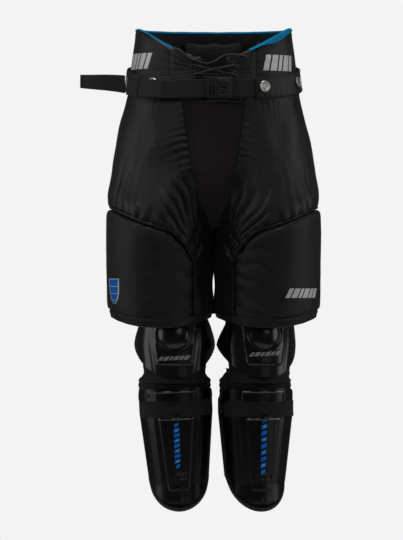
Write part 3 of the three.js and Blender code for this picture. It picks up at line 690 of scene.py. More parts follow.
gusset = sheet("stretch_panel", gusset_surface, 60, 110)
co = points_of(gusset)
pulls = folds(co[:, 0], co[:, 2], 0.021, 8, 0.6) * np.exp(-((co[:, 2] + 0.17) / 0.05) ** 2)
push(gusset, (0.9 * pulls + 0.5 * ripple(co, (22, 22, 12), 4)) * MM)
thicken(gusset, 2 * MM, round_edge=False)
unwrap_round(gusset)
finish_piece(gusset, "waist", KNIT, ("stretch_gusset",))
top_run = np.linspace(-1, 1, 60)
edge_x, edge_y, edge_z = shell_xyz(gusset_angle(GUSSET_TOP_Z) + 0.02, GUSSET_TOP_Z - 1.5 * MM)
panel_fold = as_points(edge_x * top_run, edge_y - 4.2 * MM * (1 - top_run ** 2) + 1.5 * MM,
                       edge_z + 0.8 * MM * np.sin(5 * top_run))
saddle = sheet("crotch_panel", saddle_surface, 14, 40)
thicken(saddle, 2 * MM, round_edge=False)
unwrap_round(saddle)
finish_piece(saddle, "waist", KNIT)
print("stretch panel", len(gusset.data.polygons), "faces")

# %% [markdown]
# ## Tubes and stitches
# Piping, lace and thread all follow a line. A tube is swept along its points without twisting:
# each ring is turned just enough to face the next. Stitches are a run of short capsules, so a
# Geometry Nodes tree lays them: resample the line by the stitch pitch, put a capsule on each
# point, turn it along the line, and realise the result, since instances are lost on export.

# %% Tube along a line
def resample(points, step):
    points = np.asarray(points, float)
    lengths = np.linalg.norm(np.diff(points, axis=0), axis=1)
    run = np.concatenate([[0], np.cumsum(lengths)])
    count = max(3, int(run[-1] / step) + 1)
    at = np.linspace(0, run[-1], count)
    return np.stack([np.interp(at, run, points[:, c]) for c in range(3)], -1)


def tube(name, points, radius, sides=8, step=2 * MM, flat=1.0):
    """A closed tube; flat below 1 makes it an oval."""
    line = resample(points, step)
    tangents = np.gradient(line, axis=0)
    tangents /= np.linalg.norm(tangents, axis=1)[:, None]
    across = Vector(tangents[0]).orthogonal().normalized()
    rings = []
    for point, tangent in zip(line, tangents):
        tangent = Vector(tangent)
        across = (across - tangent * across.dot(tangent)).normalized()
        up = tangent.cross(across)
        for turn in np.arange(sides) * 2 * math.pi / sides:
            offset = across * math.cos(turn) * radius + up * math.sin(turn) * radius * flat
            rings.append(Vector(point) + offset)
    faces = [tuple(f) for f in grid_faces(sides, len(line), ring=True)]
    faces.append(tuple(range(sides))[::-1])
    faces.append(tuple(range(sides * (len(line) - 1), sides * len(line))))
    return new_object(name, rings, faces)


# %% The stretch panel's folded top edge
fold = tube("stretch_panel_fold", panel_fold, 1.3 * MM, 8, 2 * MM, 0.6)
unwrap_round(fold)
finish_piece(fold, "waist", LACE)
print("fold", len(fold.data.polygons), "faces")


# %% Node tree helpers
def node_tree(name, inputs):
    """An empty tree with named inputs; returns it and its input and output nodes."""
    tree = bpy.data.node_groups.new(name, "GeometryNodeTree")
    tree.interface.new_socket("Geometry", in_out="INPUT", socket_type="NodeSocketGeometry")
    for label, kind in inputs:
        tree.interface.new_socket(label, in_out="INPUT", socket_type="NodeSocket" + kind)
    tree.interface.new_socket("Geometry", in_out="OUTPUT", socket_type="NodeSocketGeometry")
    return tree, tree.nodes.new("NodeGroupInput"), tree.nodes.new("NodeGroupOutput")


def join(tree, rows):
    """Each row is a node, its output, the next node, and the input that it goes to."""
    for source, output, target, socket in rows:
        tree.links.new(source.outputs[output], target.inputs[socket])


def keep_copies(tree, place, given, finish, result):
    """Makes the copies real, gives them their material and sends them out."""
    realize = tree.nodes.new("GeometryNodeRealizeInstances")
    paint = tree.nodes.new("GeometryNodeSetMaterial")
    join(tree, [
        (place, "Instances", realize, "Geometry"),
        (realize, "Geometry", paint, "Geometry"),
        (given, finish, paint, "Material"),
        (paint, "Geometry", result, "Geometry"),
    ])
    return tree


def run_tree(piece, tree, **values):
    """Puts the tree on the piece, sets its inputs by their identifiers, and keeps the result."""
    modifier = piece.modifiers.new(tree.name, "NODES")
    modifier.node_group = tree
    for item in tree.interface.items_tree:
        key = item.name.replace(" ", "_").lower()
        if item.in_out == "INPUT" and key in values:
            modifier[item.identifier] = values[key]
    return apply_modifiers(piece)


# %% Stitch run tree
def make_stitch_tree():
    sizes = [("Pitch", "Float"), ("Stitch Length", "Float"), ("Thread Radius", "Float")]
    tree, given, result = node_tree("stitch_run", sizes + [("Thread", "Material")])
    nodes = tree.nodes
    line = nodes.new("GeometryNodeMeshToCurve")
    spaced = nodes.new("GeometryNodeResampleCurve")
    spaced.mode = "LENGTH"
    tangent = nodes.new("GeometryNodeInputTangent")
    turn = nodes.new("FunctionNodeAlignRotationToVector")
    turn.axis = "X"
    capsule = nodes.new("GeometryNodeMeshIcoSphere")
    capsule.inputs["Radius"].default_value = 1.0
    capsule.inputs["Subdivisions"].default_value = 1
    half = nodes.new("ShaderNodeMath")
    half.operation = "MULTIPLY"
    half.inputs[1].default_value = 0.5
    size = nodes.new("ShaderNodeCombineXYZ")
    place = nodes.new("GeometryNodeInstanceOnPoints")
    join(tree, [
        (given, "Geometry", line, "Mesh"),
        (line, "Curve", spaced, "Curve"),
        (given, "Pitch", spaced, "Length"),
        (tangent, "Tangent", turn, "Vector"),
        (given, "Stitch Length", half, 0),
        (half, "Value", size, "X"),
        (given, "Thread Radius", size, "Y"),
        (given, "Thread Radius", size, "Z"),
        (spaced, "Curve", place, "Points"),
        (capsule, "Mesh", place, "Instance"),
        (turn, "Rotation", place, "Rotation"),
        (size, "Vector", place, "Scale"),
    ])
    return keep_copies(tree, place, given, "Thread", result)


STITCH_RUN = make_stitch_tree()
print("stitch tree:", len(STITCH_RUN.nodes), "nodes")


# %% Laying a row of stitches
def stitch(name, lines, body, pitch=3.4 * MM, thread=THREAD, radius=0.42 * MM):
    """One run of stitches along each line, all as one piece on one body."""
    points, edges = [], []
    for line in lines:
        line = resample(line, 2 * MM)
        edges += [(len(points) + i, len(points) + i + 1) for i in range(len(line) - 1)]
        points += [tuple(p) for p in line]
    mesh = bpy.data.meshes.new(name)
    mesh.from_pydata(points, edges, [])
    piece = bpy.data.objects.new(name, mesh)
    bpy.context.scene.collection.objects.link(piece)
    run_tree(piece, STITCH_RUN, pitch=pitch, stitch_length=pitch * 0.72, thread_radius=radius, thread=thread)
    unwrap_round(piece)
    return finish_piece(piece, body, thread, sharp=80)


# %% [markdown]
# ## Thigh pads
# Each thigh pad is a thick quilted pad sewn round its edge, crowned in the middle and pinched
# where the piping runs. A subdivided slab would look like a slab, so a closed crowned form is
# remeshed into even faces and blown up a little by the cloth solver with pressure and without
# gravity. How far a point may move is capped, which keeps the pad inside its own space.

# %% Padded forms
def weld(piece, distance, turn_out=False):
    """Joins points that lie on each other, and turns the faces outwards if asked."""
    mesh = bmesh.new()
    mesh.from_mesh(piece.data)
    bmesh.ops.remove_doubles(mesh, verts=mesh.verts, dist=distance)
    if turn_out:
        bmesh.ops.dissolve_degenerate(mesh, edges=mesh.edges, dist=1e-7)
        bmesh.ops.recalc_face_normals(mesh, faces=mesh.faces)
    mesh.to_mesh(piece.data)
    mesh.free()
    return piece


def pillow(name, surface, nu, nv, depth, rim, crown=0.0, mirror=False, ring=False):
    """surface(u, v, out) is the outer face. Both faces meet in a rounded edge, rim metres wide."""
    u, v = np.meshgrid(np.linspace(0, 1, nu), np.linspace(0, 1, nv))
    face = as_points(*surface(u, v, 0 * u))
    wide = np.linalg.norm(np.diff(face, axis=1), axis=2).sum(1).mean()
    tall = np.linalg.norm(np.diff(face, axis=0), axis=2).sum(0).mean()
    inset = np.minimum(np.minimum(u, 1 - u) * wide, np.minimum(v, 1 - v) * tall)
    bulge = np.sqrt(np.clip(1 - np.clip(1 - inset / rim, 0, 1) ** 2, 0, 1))
    swell = crown * np.sin(np.pi * u) ** 0.5 * np.sin(np.pi * v) ** 0.7
    outer = as_points(*surface(u, v, (bulge - 1) * depth / 2 + swell))
    inner = as_points(*surface(u, v, -(bulge + 1) * depth / 2))
    faces = grid_faces(nu, nv)
    points = np.concatenate([outer.reshape(-1, 3), inner.reshape(-1, 3)])
    both = np.concatenate([faces, faces[:, ::-1] + nu * nv])
    if mirror:
        points = points * (-1, 1, 1)
        both = both[:, ::-1]
    return weld(new_object(name, points, both), 1e-5)


# %% Swelling a padded form
def puff_up(piece, voxel=5 * MM, cap=4 * MM, pressure=4.0):
    """Even faces, then a short cloth simulation with pressure, then one subdivision."""
    even = piece.modifiers.new("even", "REMESH")
    even.mode = "VOXEL"
    even.voxel_size = voxel
    apply_modifiers(piece)
    before = points_of(piece)
    cloth_modifier = piece.modifiers.new("puff", "CLOTH")
    cloth_modifier.settings.use_pressure = True
    cloth_modifier.settings.uniform_pressure_force = pressure
    cloth_modifier.settings.effector_weights.gravity = 0
    cloth_modifier.point_cache.frame_start = 1
    cloth_modifier.point_cache.frame_end = 20
    for step in range(1, 21):
        bpy.context.scene.frame_set(step)
    apply_modifiers(piece)
    moved = points_of(piece) - before
    far = np.linalg.norm(moved, axis=1)
    moved *= (np.minimum(far, cap) / np.maximum(far, 1e-9))[:, None]
    set_points(piece, before + moved)
    bpy.context.scene.frame_set(1)
    print(piece.name, "swelled by up to", round(float(np.minimum(far, cap).max() * 1000), 1), "mm")
    soften = piece.modifiers.new("soften", "SMOOTH")
    soften.factor = 0.5
    soften.iterations = 4
    finer = piece.modifiers.new("finer", "SUBSURF")
    finer.levels = 1
    finer.render_levels = 1
    return apply_modifiers(piece)


# %% Build the thigh pads
HEM_HEIGHT = 12 * MM


def hem_bottom_z(theta):
    return HEM_BOTTOM + HEM_FALL - HEM_FALL * np.clip(np.cos(theta), 0, 1) ** 2


def pad_surface(u, v, out):
    theta = -CORNER + (np.pi + 2 * CORNER) * u
    low = hem_bottom_z(theta) + HEM_HEIGHT - 5 * MM
    z = low + (pad_top_z(theta) - low) * v
    x, y = leg_xy(theta, z, out)
    return x, y, z


def leg_frame(co, sign):
    """Angle round the leg and height, for points on either leg."""
    across = rounded((co[:, 0] * sign - LEG_X) / LEG_HALF, ROUNDNESS / 2)
    return np.arctan2(across, rounded(-co[:, 1] / 0.105, ROUNDNESS / 2)), co[:, 2]


def pad_creases(co, sign, seed):
    theta, z = leg_frame(co, sign)
    theta = np.where(theta < -np.pi / 2, theta + 2 * np.pi, theta)
    inner = np.minimum(theta, np.pi - theta)
    near_corner = np.exp(-((inner + CORNER) / 0.62) ** 2)
    along = z + 0.018 * (inner + CORNER)
    pulls = near_corner * (1 - folds(along, inner * 0.1, 0.024, seed, 0.8))
    dents = ripple(co, (20, 20, 14), seed + 1)
    small = ripple(co, (60, 60, 45), seed + 2)
    top_ease = bump(pad_top_z(theta) - z, 0.014) * folds(theta * 0.09, z, 0.017, seed + 3)
    return (-3.8 * pulls + 1.6 * dents + 0.4 * small - 1.0 * top_ease) * MM


for side, sign in SIDES.items():
    pad = pillow(f"{side}_thigh_pad_cover", pad_surface, 110, 46, PAD_DEPTH - 1 * MM, 7.5 * MM,
                 1 * MM, sign < 0)
    puff_up(pad, 4.5 * MM, 2.5 * MM)
    push(pad, pad_creases(points_of(pad), sign, 21 if side == "left" else 27))
    unwrap_round(pad, (sign * LEG_X, 0))
    finish_piece(pad, f"{side}_thigh", PAD_COVER, (f"{side}_thigh_pad",), sharp=60)
    print(pad.name, len(pad.data.polygons), "faces")

# %% [markdown]
# ## Piping, inner legs and hems
# A thin cord sewn into a folded strip, called piping, marks the edge of each pad and catches
# the light along its curve. Behind it the inner leg is plain gathered nylon, and a rolled band
# of pad cloth closes the leg, with a row of stitches above its fold.


# %% Surfaces of the piping, inner legs and hems
def on_leg(theta, z, sign, out=0.0):
    x, y = leg_xy(theta, z, out)
    return as_points(x * sign, y, z)


def piping_line(sign, out):
    """Up the front inner edge of the pad, over its top, and down the back inner edge."""
    corner_z = float(pad_top_z(np.array(-CORNER)))
    rise = np.linspace(HEM_BOTTOM + HEM_HEIGHT + 6 * MM, corner_z - 8 * MM, 24)
    front = on_leg(np.full_like(rise, -CORNER + 0.02), rise, sign, out)
    theta = np.linspace(-CORNER + 0.07, np.pi + CORNER - 0.07, 120)
    over = on_leg(theta, pad_top_z(theta) - 1.5 * MM, sign, out)
    back = on_leg(np.full_like(rise, np.pi + CORNER - 0.02), rise[::-1], sign, out)
    return np.concatenate([front, over, back])


def inner_leg_surface(u, v):
    theta = np.pi + CORNER - 0.15 + (np.pi - 2 * CORNER + 0.30) * u
    over_pad = np.abs(theta - 1.5 * np.pi)
    high = -0.205 - 0.016 * smooth(over_pad / (np.pi / 2 - CORNER))
    low = HEM_BOTTOM + HEM_FALL + 6 * MM
    z = low + (high - low) * v
    slit = np.exp(-((z + 0.279) / 0.024) ** 2)
    out = 5.0 * MM - 3.4 * MM * slit - 2.4 * MM * smooth((v - 0.85) / 0.15)
    x, y = leg_xy(theta, z, out - 9.5 * MM * smooth((over_pad - 0.45) / 0.55))
    return x, y, z


# Across the rolled hem: share of the way, then millimetres out from the leg and up from its edge.
HEM_SHARE = [0, 0.12, 0.24, 0.36, 0.5, 0.8, 0.92, 1]
HEM_OUT = [-7.0, -6.8, -6.0, -4.6, -2.2, -0.3, -0.6, -2.2]
HEM_RISE = [12, 7, 1.5, 0, 1.4, 9.5, 12, 12.5]


def hem_surface(u, v):
    """One turn of cloth: up the outside, over the fold at the bottom, and up the inside."""
    theta = 2 * np.pi * u
    low = hem_bottom_z(theta)
    z = low + np.interp(v, HEM_SHARE, HEM_RISE) * MM
    inner = bump(theta - 1.5 * np.pi, 0.6)
    x, y = leg_xy(theta, z, (np.interp(v, HEM_SHARE, HEM_OUT) + 1.9 * inner) * MM)
    return x, y, z


# %% Build piping, inner legs and hems
for side, sign in SIDES.items():
    piping = tube(f"{side}_pad_piping", piping_line(sign, -3.0 * MM), 2.3 * MM, 8, 3 * MM)
    unwrap_round(piping, (sign * LEG_X, 0))
    finish_piece(piping, f"{side}_thigh", NYLON)

    panel = sheet(f"{side}_inner_leg", inner_leg_surface, 70, 60, mirror=sign < 0)
    co = points_of(panel)
    hang_folds = folds(co[:, 1], co[:, 2], 0.017, 31 + sign, 0.7)
    slack = ripple(co, (20, 20, 12), 35 + sign)
    push(panel, (2.0 * hang_folds - 1.6 + 0.6 * slack) * MM * 0.8)
    keep_apart(panel, sign)
    thicken(panel, 1.4 * MM, round_edge=False)
    unwrap_round(panel, (sign * LEG_X, 0))
    finish_piece(panel, hip_bend(side), NYLON, (f"{side}_inner_leg_panel",))

    hem = sheet(f"{side}_hem_roll", hem_surface, 150, 17, ring=True, mirror=sign < 0)
    co = points_of(hem)
    push(hem, 0.45 * MM * ripple(co, (60, 60, 60), 41 + sign))
    thicken(hem, 1.2 * MM, round_edge=False)
    unwrap_round(hem, (sign * LEG_X, 0))
    finish_piece(hem, f"{side}_thigh", PAD_COVER, (f"{side}_hem_band",))

    around = np.linspace(0, 2 * np.pi, 140)
    row = on_leg(around, hem_bottom_z(around) + 9.8 * MM, sign, -0.15 * MM)
    stitch(f"{side}_hem_stitches", [row], f"{side}_thigh")
print("legs closed")

# %% [markdown]
# ## Waistband
# The waistband is a padded strip that is open at the fly and drawn together by the lace, so its
# front ends are full of short creases that point at the eyelets. It is made as a closed pillow,
# thin at its seams. A bright tricot binding is folded over its top edge.

# %% Build the waistband
FLY_ANGLE = float(body_angle(0.020, 0.0))
BAND_DEPTH = 5 * MM


def band_surface(u, v, out):
    angle = FLY_ANGLE + (2 * np.pi - 2 * FLY_ANGLE) * u
    low = seam_z(angle)
    high = waist_top_z(angle) + 0.6 * MM
    z = low + (high - low) * v
    x, y = body_xy(angle, z, out)
    return x, y, z


def angle_at(x, y, z):
    """The section angle of points on the wall, the other way round from body_xy."""
    half, front, back = (station_smooth(z, column) for column in (1, 2, 3))
    depth = np.where(y < 0, front, back)
    return np.arctan2(rounded(x / half, ROUNDNESS / 2), rounded(-y / depth, ROUNDNESS / 2))


def band_creases(co):
    x, y, z = co[:, 0], co[:, 1], co[:, 2]
    angle = angle_at(x, y, z)
    front = smooth((-y - 0.02) / 0.03)
    from_lace = np.abs(x) - 0.026
    near = np.exp(-np.clip(from_lace, 0, 1) / 0.034) * front
    spread = np.arctan2(z - 0.017, np.abs(from_lace) + 0.012)
    lace_pull = near * folds(spread * 0.045, x, 0.0085, 51, 0.5)
    dart = front * np.exp(-((np.abs(x + 0.001) - 0.059) / 0.0016) ** 2)
    loose = ripple(co, (26, 26, 18), 52)
    fine = ripple(co, (70, 70, 40), 53)
    above_belt = np.exp(-((z - belt_z(angle) - 0.014) / 0.006) ** 2)
    gathers = above_belt * folds(angle * 0.11, z, 0.013, 54)
    return (3.8 * lace_pull - 1.0 * dart + 1.1 * loose + 0.3 * fine + 0.9 * gathers - 0.8) * MM


band = pillow("waistband_cover", band_surface, 300, 46, BAND_DEPTH, 4 * MM, 0.6 * MM)
push(band, band_creases(points_of(band)))
unwrap_round(band)
finish_piece(band, "waist", NYLON, ("waistband",), sharp=60)
print("waistband", len(band.data.polygons), "faces")

# %% Binding on the top edge
BINDING_ANGLE = float(body_angle(0.052, 0.0))
BINDING_OUT = [-6.2, -6.0, -4.6, -2.4, -0.6, 0.5, 0.9]


def binding_surface(u, v):
    angle = BINDING_ANGLE + (2 * np.pi - 2 * BINDING_ANGLE) * u
    x, y = body_xy(angle, np.full_like(angle, WAIST_TOP))
    front = smooth((-y + 0.005) / 0.03)
    ends = smooth((np.abs(x) - 0.052) / 0.03)
    folded = (0.9 + front * np.where(x > 0, 5.6 * bump(np.abs(x) - 0.088, 0.022), 1.0)) * ends
    inside = 1.2 + 4 * front
    top = waist_top_z(angle) + (0.4 + 0.6 * front) * MM
    levels = (-inside - 0.4, -0.6, 0.9, 1.3, 0.7, -0.9, -folded - 0.5)
    rise = np.stack(np.broadcast_arrays(*levels), -1)
    place = v * 6
    index = np.clip(place.astype(int), 0, 5)
    t = place - index
    low = np.take_along_axis(rise, index[..., None], -1)[..., 0]
    high = np.take_along_axis(rise, index[..., None] + 1, -1)[..., 0]
    z = top + (low + (high - low) * t) * MM
    out = np.interp(v, np.linspace(0, 1, 7), BINDING_OUT) * MM
    right_flap = front * smooth((-x - 0.02) / 0.02)
    out = out - right_flap * (1.6 + 1.4 * smooth((np.abs(x) - 0.07) / 0.02)) * MM
    x, y = body_xy(angle, z, out)
    return x, y, z - 1.3 * MM * right_flap


binding = sheet("waist_binding_fold", binding_surface, 220, 19)
binding.data.flip_normals()
co = points_of(binding)
push(binding, 0.35 * MM * ripple(co, (60, 60, 60), 57))
thicken(binding, 0.8 * MM, round_edge=False)
unwrap_round(binding)
finish_piece(binding, "waist", BINDING, ("waist_binding",))
print("binding", len(binding.data.polygons), "faces")


# %% Tongue behind the lace
def tongue_surface(u, v):
    angle = 2.3 * FLY_ANGLE * (2 * u - 1)
    z = float(seam_z(np.array(0.0))) + 3 * MM + 0.030 * v
    x, y = body_xy(angle, z, -11 * MM)
    return x, y, z + 0 * u


tongue = sheet("fly_tongue_cloth", tongue_surface, 60, 40)
co = points_of(tongue)
push(tongue, (1.5 * folds(co[:, 2] + 0.2 * co[:, 0], co[:, 0], 0.009, 58, 0.8) - 0.8) * MM)
thicken(tongue, 2 * MM)
unwrap_round(tongue)
finish_piece(tongue, "waist", NYLON, ("fly_tongue",))
print("waist closed")

# %% [markdown]
# ## Turned hardware
# Eyelets, brace buttons and rivets are all turned parts: one profile spun round an axis. Each
# profile is spun once, and a Geometry Nodes tree sets a copy on every marked point, turned to
# the wall there. The marks are single points that carry the wall's outward direction.


# %% Turned shapes
def turned(name, profile, sides):
    """Spins (radius, height) pairs, in millimetres, round Z. The ends lie on the axis or meet."""
    points, faces = [], []
    for radius, height in [(r * MM, h * MM) for r, h in profile]:
        for turn in np.arange(sides) * 2 * math.pi / sides:
            points.append((radius * math.cos(turn), radius * math.sin(turn), height))
    for ring in range(len(profile) - 1):
        for i in range(sides):
            j = (i + 1) % sides
            a, b = ring * sides, (ring + 1) * sides
            faces.append((a + i, a + j, b + j, b + i))
    return weld(new_object(name, points, faces), 1e-6, turn_out=True)


# %% The tree that sets a shape on the wall
def make_setting_tree():
    sizes = [("Shape", "Object"), ("Size", "Float"), ("Finish", "Material")]
    tree, given, result = node_tree("set_on_wall", sizes)
    nodes = tree.nodes
    shape = nodes.new("GeometryNodeObjectInfo")
    outward = nodes.new("GeometryNodeInputNamedAttribute")
    outward.data_type = "FLOAT_VECTOR"
    outward.inputs["Name"].default_value = "outward"
    turn = nodes.new("FunctionNodeAlignRotationToVector")
    turn.axis = "Z"
    spots = nodes.new("GeometryNodeMeshToPoints")
    place = nodes.new("GeometryNodeInstanceOnPoints")
    join(tree, [
        (given, "Geometry", spots, "Mesh"),
        (given, "Shape", shape, "Object"),
        (outward, "Attribute", turn, "Vector"),
        (spots, "Points", place, "Points"),
        (shape, "Geometry", place, "Instance"),
        (turn, "Rotation", place, "Rotation"),
        (given, "Size", place, "Scale"),
    ])
    return keep_copies(tree, place, given, "Finish", result)


SET_ON_WALL = make_setting_tree()
print("setting tree:", len(SET_ON_WALL.nodes), "nodes")


def set_pieces(name, shape, spots, body, material, replaces=(), size=1.0):
    """spots is a list of (point, outward). One copy of the shape goes on each."""
    mesh = bpy.data.meshes.new(name)
    mesh.from_pydata([tuple(p) for p, _ in spots], [], [])
    outward = mesh.attributes.new("outward", "FLOAT_VECTOR", "POINT")
    outward.data.foreach_set("vector", np.array([tuple(n) for _, n in spots]).ravel())
    piece = bpy.data.objects.new(name, mesh)
    bpy.context.scene.collection.objects.link(piece)
    run_tree(piece, SET_ON_WALL, shape=shape, size=size, finish=material)
    piece.data.uv_layers.new(name="cloth")
    return finish_piece(piece, body, material, replaces, sharp=35)


# %% Points on the wall, and the three profiles
def angle_near(point):
    """The section angle whose wall is nearest to a point."""
    fan = np.linspace(-np.pi, np.pi, 1441)
    x, y = body_xy(fan, np.full_like(fan, point.z))
    return float(fan[np.argmin((x - point.x) ** 2 + (y - point.y) ** 2)])


def on_wall(angle, z, out=0.0):
    """A point on the body's wall and its outward direction."""

    def at(a, h):
        x, y = body_xy(np.array(a), np.array(h), out)
        return Vector((float(x), float(y), float(h)))
    across = at(angle + 0.02, z) - at(angle - 0.02, z)
    rise = at(angle, z + 0.002) - at(angle, z - 0.002)
    return at(angle, z), across.cross(rise).normalized()


BUTTON_PROFILE = [(0, 0), (6.4, 0), (7.7, 0.5), (8.0, 1.3), (7.9, 2.3), (7.2, 3.1), (6.3, 3.3), (5.4, 3.0),
                  (4.9, 2.4), (4.2, 2.3), (2.0, 2.5), (0, 2.55)]
EYELET_PROFILE = [(2.4, -1.0), (4.2, -1.0), (4.6, 0.0), (4.3, 0.7), (3.6, 1.1), (2.9, 0.9), (2.4, 0.2),
                  (2.4, -1.0)]
RIVET_PROFILE = [(0, -0.6), (3.0, -0.6), (3.1, 0.1), (2.7, 0.8), (1.7, 1.3), (0, 1.5)]
button_shape = turned("button_shape", BUTTON_PROFILE, 32)
eyelet_shape = turned("eyelet_shape", EYELET_PROFILE, 24)
rivet_shape = turned("rivet_shape", RIVET_PROFILE, 16)
print("turned shapes:", button_shape.name, eyelet_shape.name, rivet_shape.name)

# %% Brace buttons and eyelets
def middle_of(name):
    low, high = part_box(name)
    return (low + high) / 2


button_nodes = [f"brace_button_{side}_{i}" for side in SIDES for i in (1, 2, 3)]
button_spots = []
for name in button_nodes:
    centre = middle_of(name)
    angle = angle_near(centre)
    lift = 3 * MM if name == "brace_button_right_1" else 0.0
    spot, outward = on_wall(angle, centre.z + lift)
    distance = (centre - spot).dot(outward) - 1.7 * MM
    button_spots.append((spot + outward * distance, outward))
set_pieces("brace_buttons", button_shape, button_spots, "waist", NICKEL, button_nodes)

eyelet_nodes = [f"fly_eyelet_{side}_{i}" for side in SIDES for i in (1, 2)]
eyelet_spots = []
for name in eyelet_nodes:
    centre = middle_of(name)
    angle = float(np.sign(centre.x) * body_angle(abs(centre.x), centre.z))
    spot, outward = on_wall(angle, centre.z, 1.4 * MM)
    eyelet_spots.append((spot, outward))
set_pieces("fly_eyelets", eyelet_shape, eyelet_spots, "waist", BUCKLE, eyelet_nodes)
print("buttons:", len(button_spots), "eyelets:", len(eyelet_spots))

# %% Lace
left_top, left_low, right_top, right_low = [spot for spot, _ in eyelet_spots]


def lace_at(spot, proud, inward=0.0):
    outward = Vector((spot.x * 3.5, spot.y, 0)).normalized()
    return spot + outward * proud + Vector((-math.copysign(inward, spot.x), 0, 0))


crossing = Vector((0, left_top.y - 3.5 * MM, (left_top.z + left_low.z) / 2))
lace_stops = [
    lace_at(left_top, -5 * MM, 8 * MM), lace_at(left_top, -4 * MM), lace_at(left_top, 1 * MM),
    lace_at(left_top, 2.6 * MM, 4 * MM), crossing + Vector((0, -3 * MM, 0.8 * MM)),
    lace_at(right_low, 2.6 * MM, 4 * MM), lace_at(right_low, 1 * MM), lace_at(right_low, -4 * MM, 2 * MM),
    Vector((0, left_low.y + 3 * MM, left_low.z)), lace_at(left_low, -4 * MM, 2 * MM),
    lace_at(left_low, 1 * MM),
    lace_at(left_low, 2.6 * MM, 4 * MM), crossing, lace_at(right_top, 2.6 * MM, 4 * MM),
    lace_at(right_top, 1 * MM), lace_at(right_top, -4 * MM), lace_at(right_top, -5 * MM, 8 * MM),
]


def rounded_line(stops, per=10):
    """A smooth line through the stops (Catmull-Rom)."""
    stops = [Vector(s) for s in stops]
    stops = [stops[0] * 2 - stops[1]] + stops + [stops[-1] * 2 - stops[-2]]
    line = []
    for a, b, c, d in zip(stops, stops[1:], stops[2:], stops[3:]):
        for t in np.linspace(0, 1, per, endpoint=False):
            line.append(0.5 * (2 * b + (c - a) * t + (2 * a - 5 * b + 4 * c - d) * t * t
                               + (3 * b - a - 3 * c + d) * t ** 3))
    return line + [stops[-2]]


lace = tube("fly_lace_braid", rounded_line(lace_stops), 1.5 * MM, 10, 1.2 * MM, 0.7)
unwrap_round(lace)
finish_piece(lace, "waist", LACE, ("fly_lace",))
print("hardware set")

# %% [markdown]
# ## The slack turn of the lace
# A length of lace that isn't pulled tight lies over the fly, and both its ends are tucked in.
# It isn't laced through anything, so it is laid by a few stops on the wall and a smooth line
# through them. A simulated cord would fall as well, but it would not lie in a chosen place.

# %% The slack turn of the lace
# Where the slack lies: x and z of each stop, from the right flap's top edge to the left flap's.
SLACK = ((-0.056, 0.049), (-0.045, 0.044), (-0.034, 0.034), (-0.022, 0.029), (-0.009, 0.026),
         (0.003, 0.030), (0.013, 0.0365), (0.026, 0.0385), (0.040, 0.0365), (0.050, 0.033))
slack_stops = []
for slack_x, slack_z in SLACK:
    slack_angle = float(body_angle(slack_x, slack_z))
    wall_x, wall_y = body_xy(np.array(slack_angle), np.array(slack_z), 2.2 * MM)
    slack_stops.append((float(wall_x), float(wall_y), slack_z))
slack_stops[0] = (slack_stops[0][0], slack_stops[0][1] + 6 * MM, slack_stops[0][2])
slack_stops[-1] = (slack_stops[-1][0], slack_stops[-1][1] + 5 * MM, slack_stops[-1][2])
slack = tube("fly_lace_slack_turn", rounded_line(slack_stops), 1.5 * MM, 10, 1.2 * MM, 0.8)
unwrap_round(slack)
finish_piece(slack, "waist", LACE)
print("slack lace", len(slack.data.polygons), "faces")

# %% [markdown]
# ## Belt
# The belt is 25 mm webbing that runs in cloth tunnels at the sides and meets in a side-release
# buckle. Webbing is stiff across and soft along, so it is modelled directly as thin strips that
# wave a little. The free end is led back over one button, through a keeper, and stands out.

# %% Build the belt
BELT_HALF = 12.5 * MM
WEBBING_THICK = 1.6 * MM


def strap_on_body(name, start, end, off, half, thickness, nu, wave=0.4, seed=1, shift=None):
    """A flat strip along the belt line from one angle to another, standing off the body."""
    def surface(u, v):
        angle = start + (end - start) * u
        stand = off(angle) if callable(off) else off
        middle = belt_z(angle) + (shift(angle) if shift else 0.0)
        z = middle + (2 * v - 1) * half
        x, y = body_xy(angle, z, stand + thickness)
        return x, y, z
    piece = sheet(name, surface, nu, 15)
    points = points_of(piece)
    push(piece, wave * MM * ripple(points, (24, 24, 8), seed))
    points = points_of(piece)
    points[:, 2] += 0.5 * wave * MM * ripple(points, (16, 16, 0), seed + 1)
    set_points(piece, points)
    thicken(piece, thickness)
    return unwrap_round(piece, radius=0.118)


buckle_low, buckle_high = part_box("buckle_socket")
plug_low, plug_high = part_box("buckle_plug")
belt_start = float(body_angle(buckle_high.x - 6 * MM, 0.0))
belt_end = 2 * math.pi - float(body_angle(-plug_low.x + 8 * MM, 0.0))
belt = strap_on_body("belt_strap", belt_start, belt_end, 1.0 * MM, BELT_HALF, WEBBING_THICK, 260, 0.3, 61)
finish_piece(belt, "waist", WEBBING, ("belt_webbing",))

print("belt", len(belt.data.polygons), "faces")

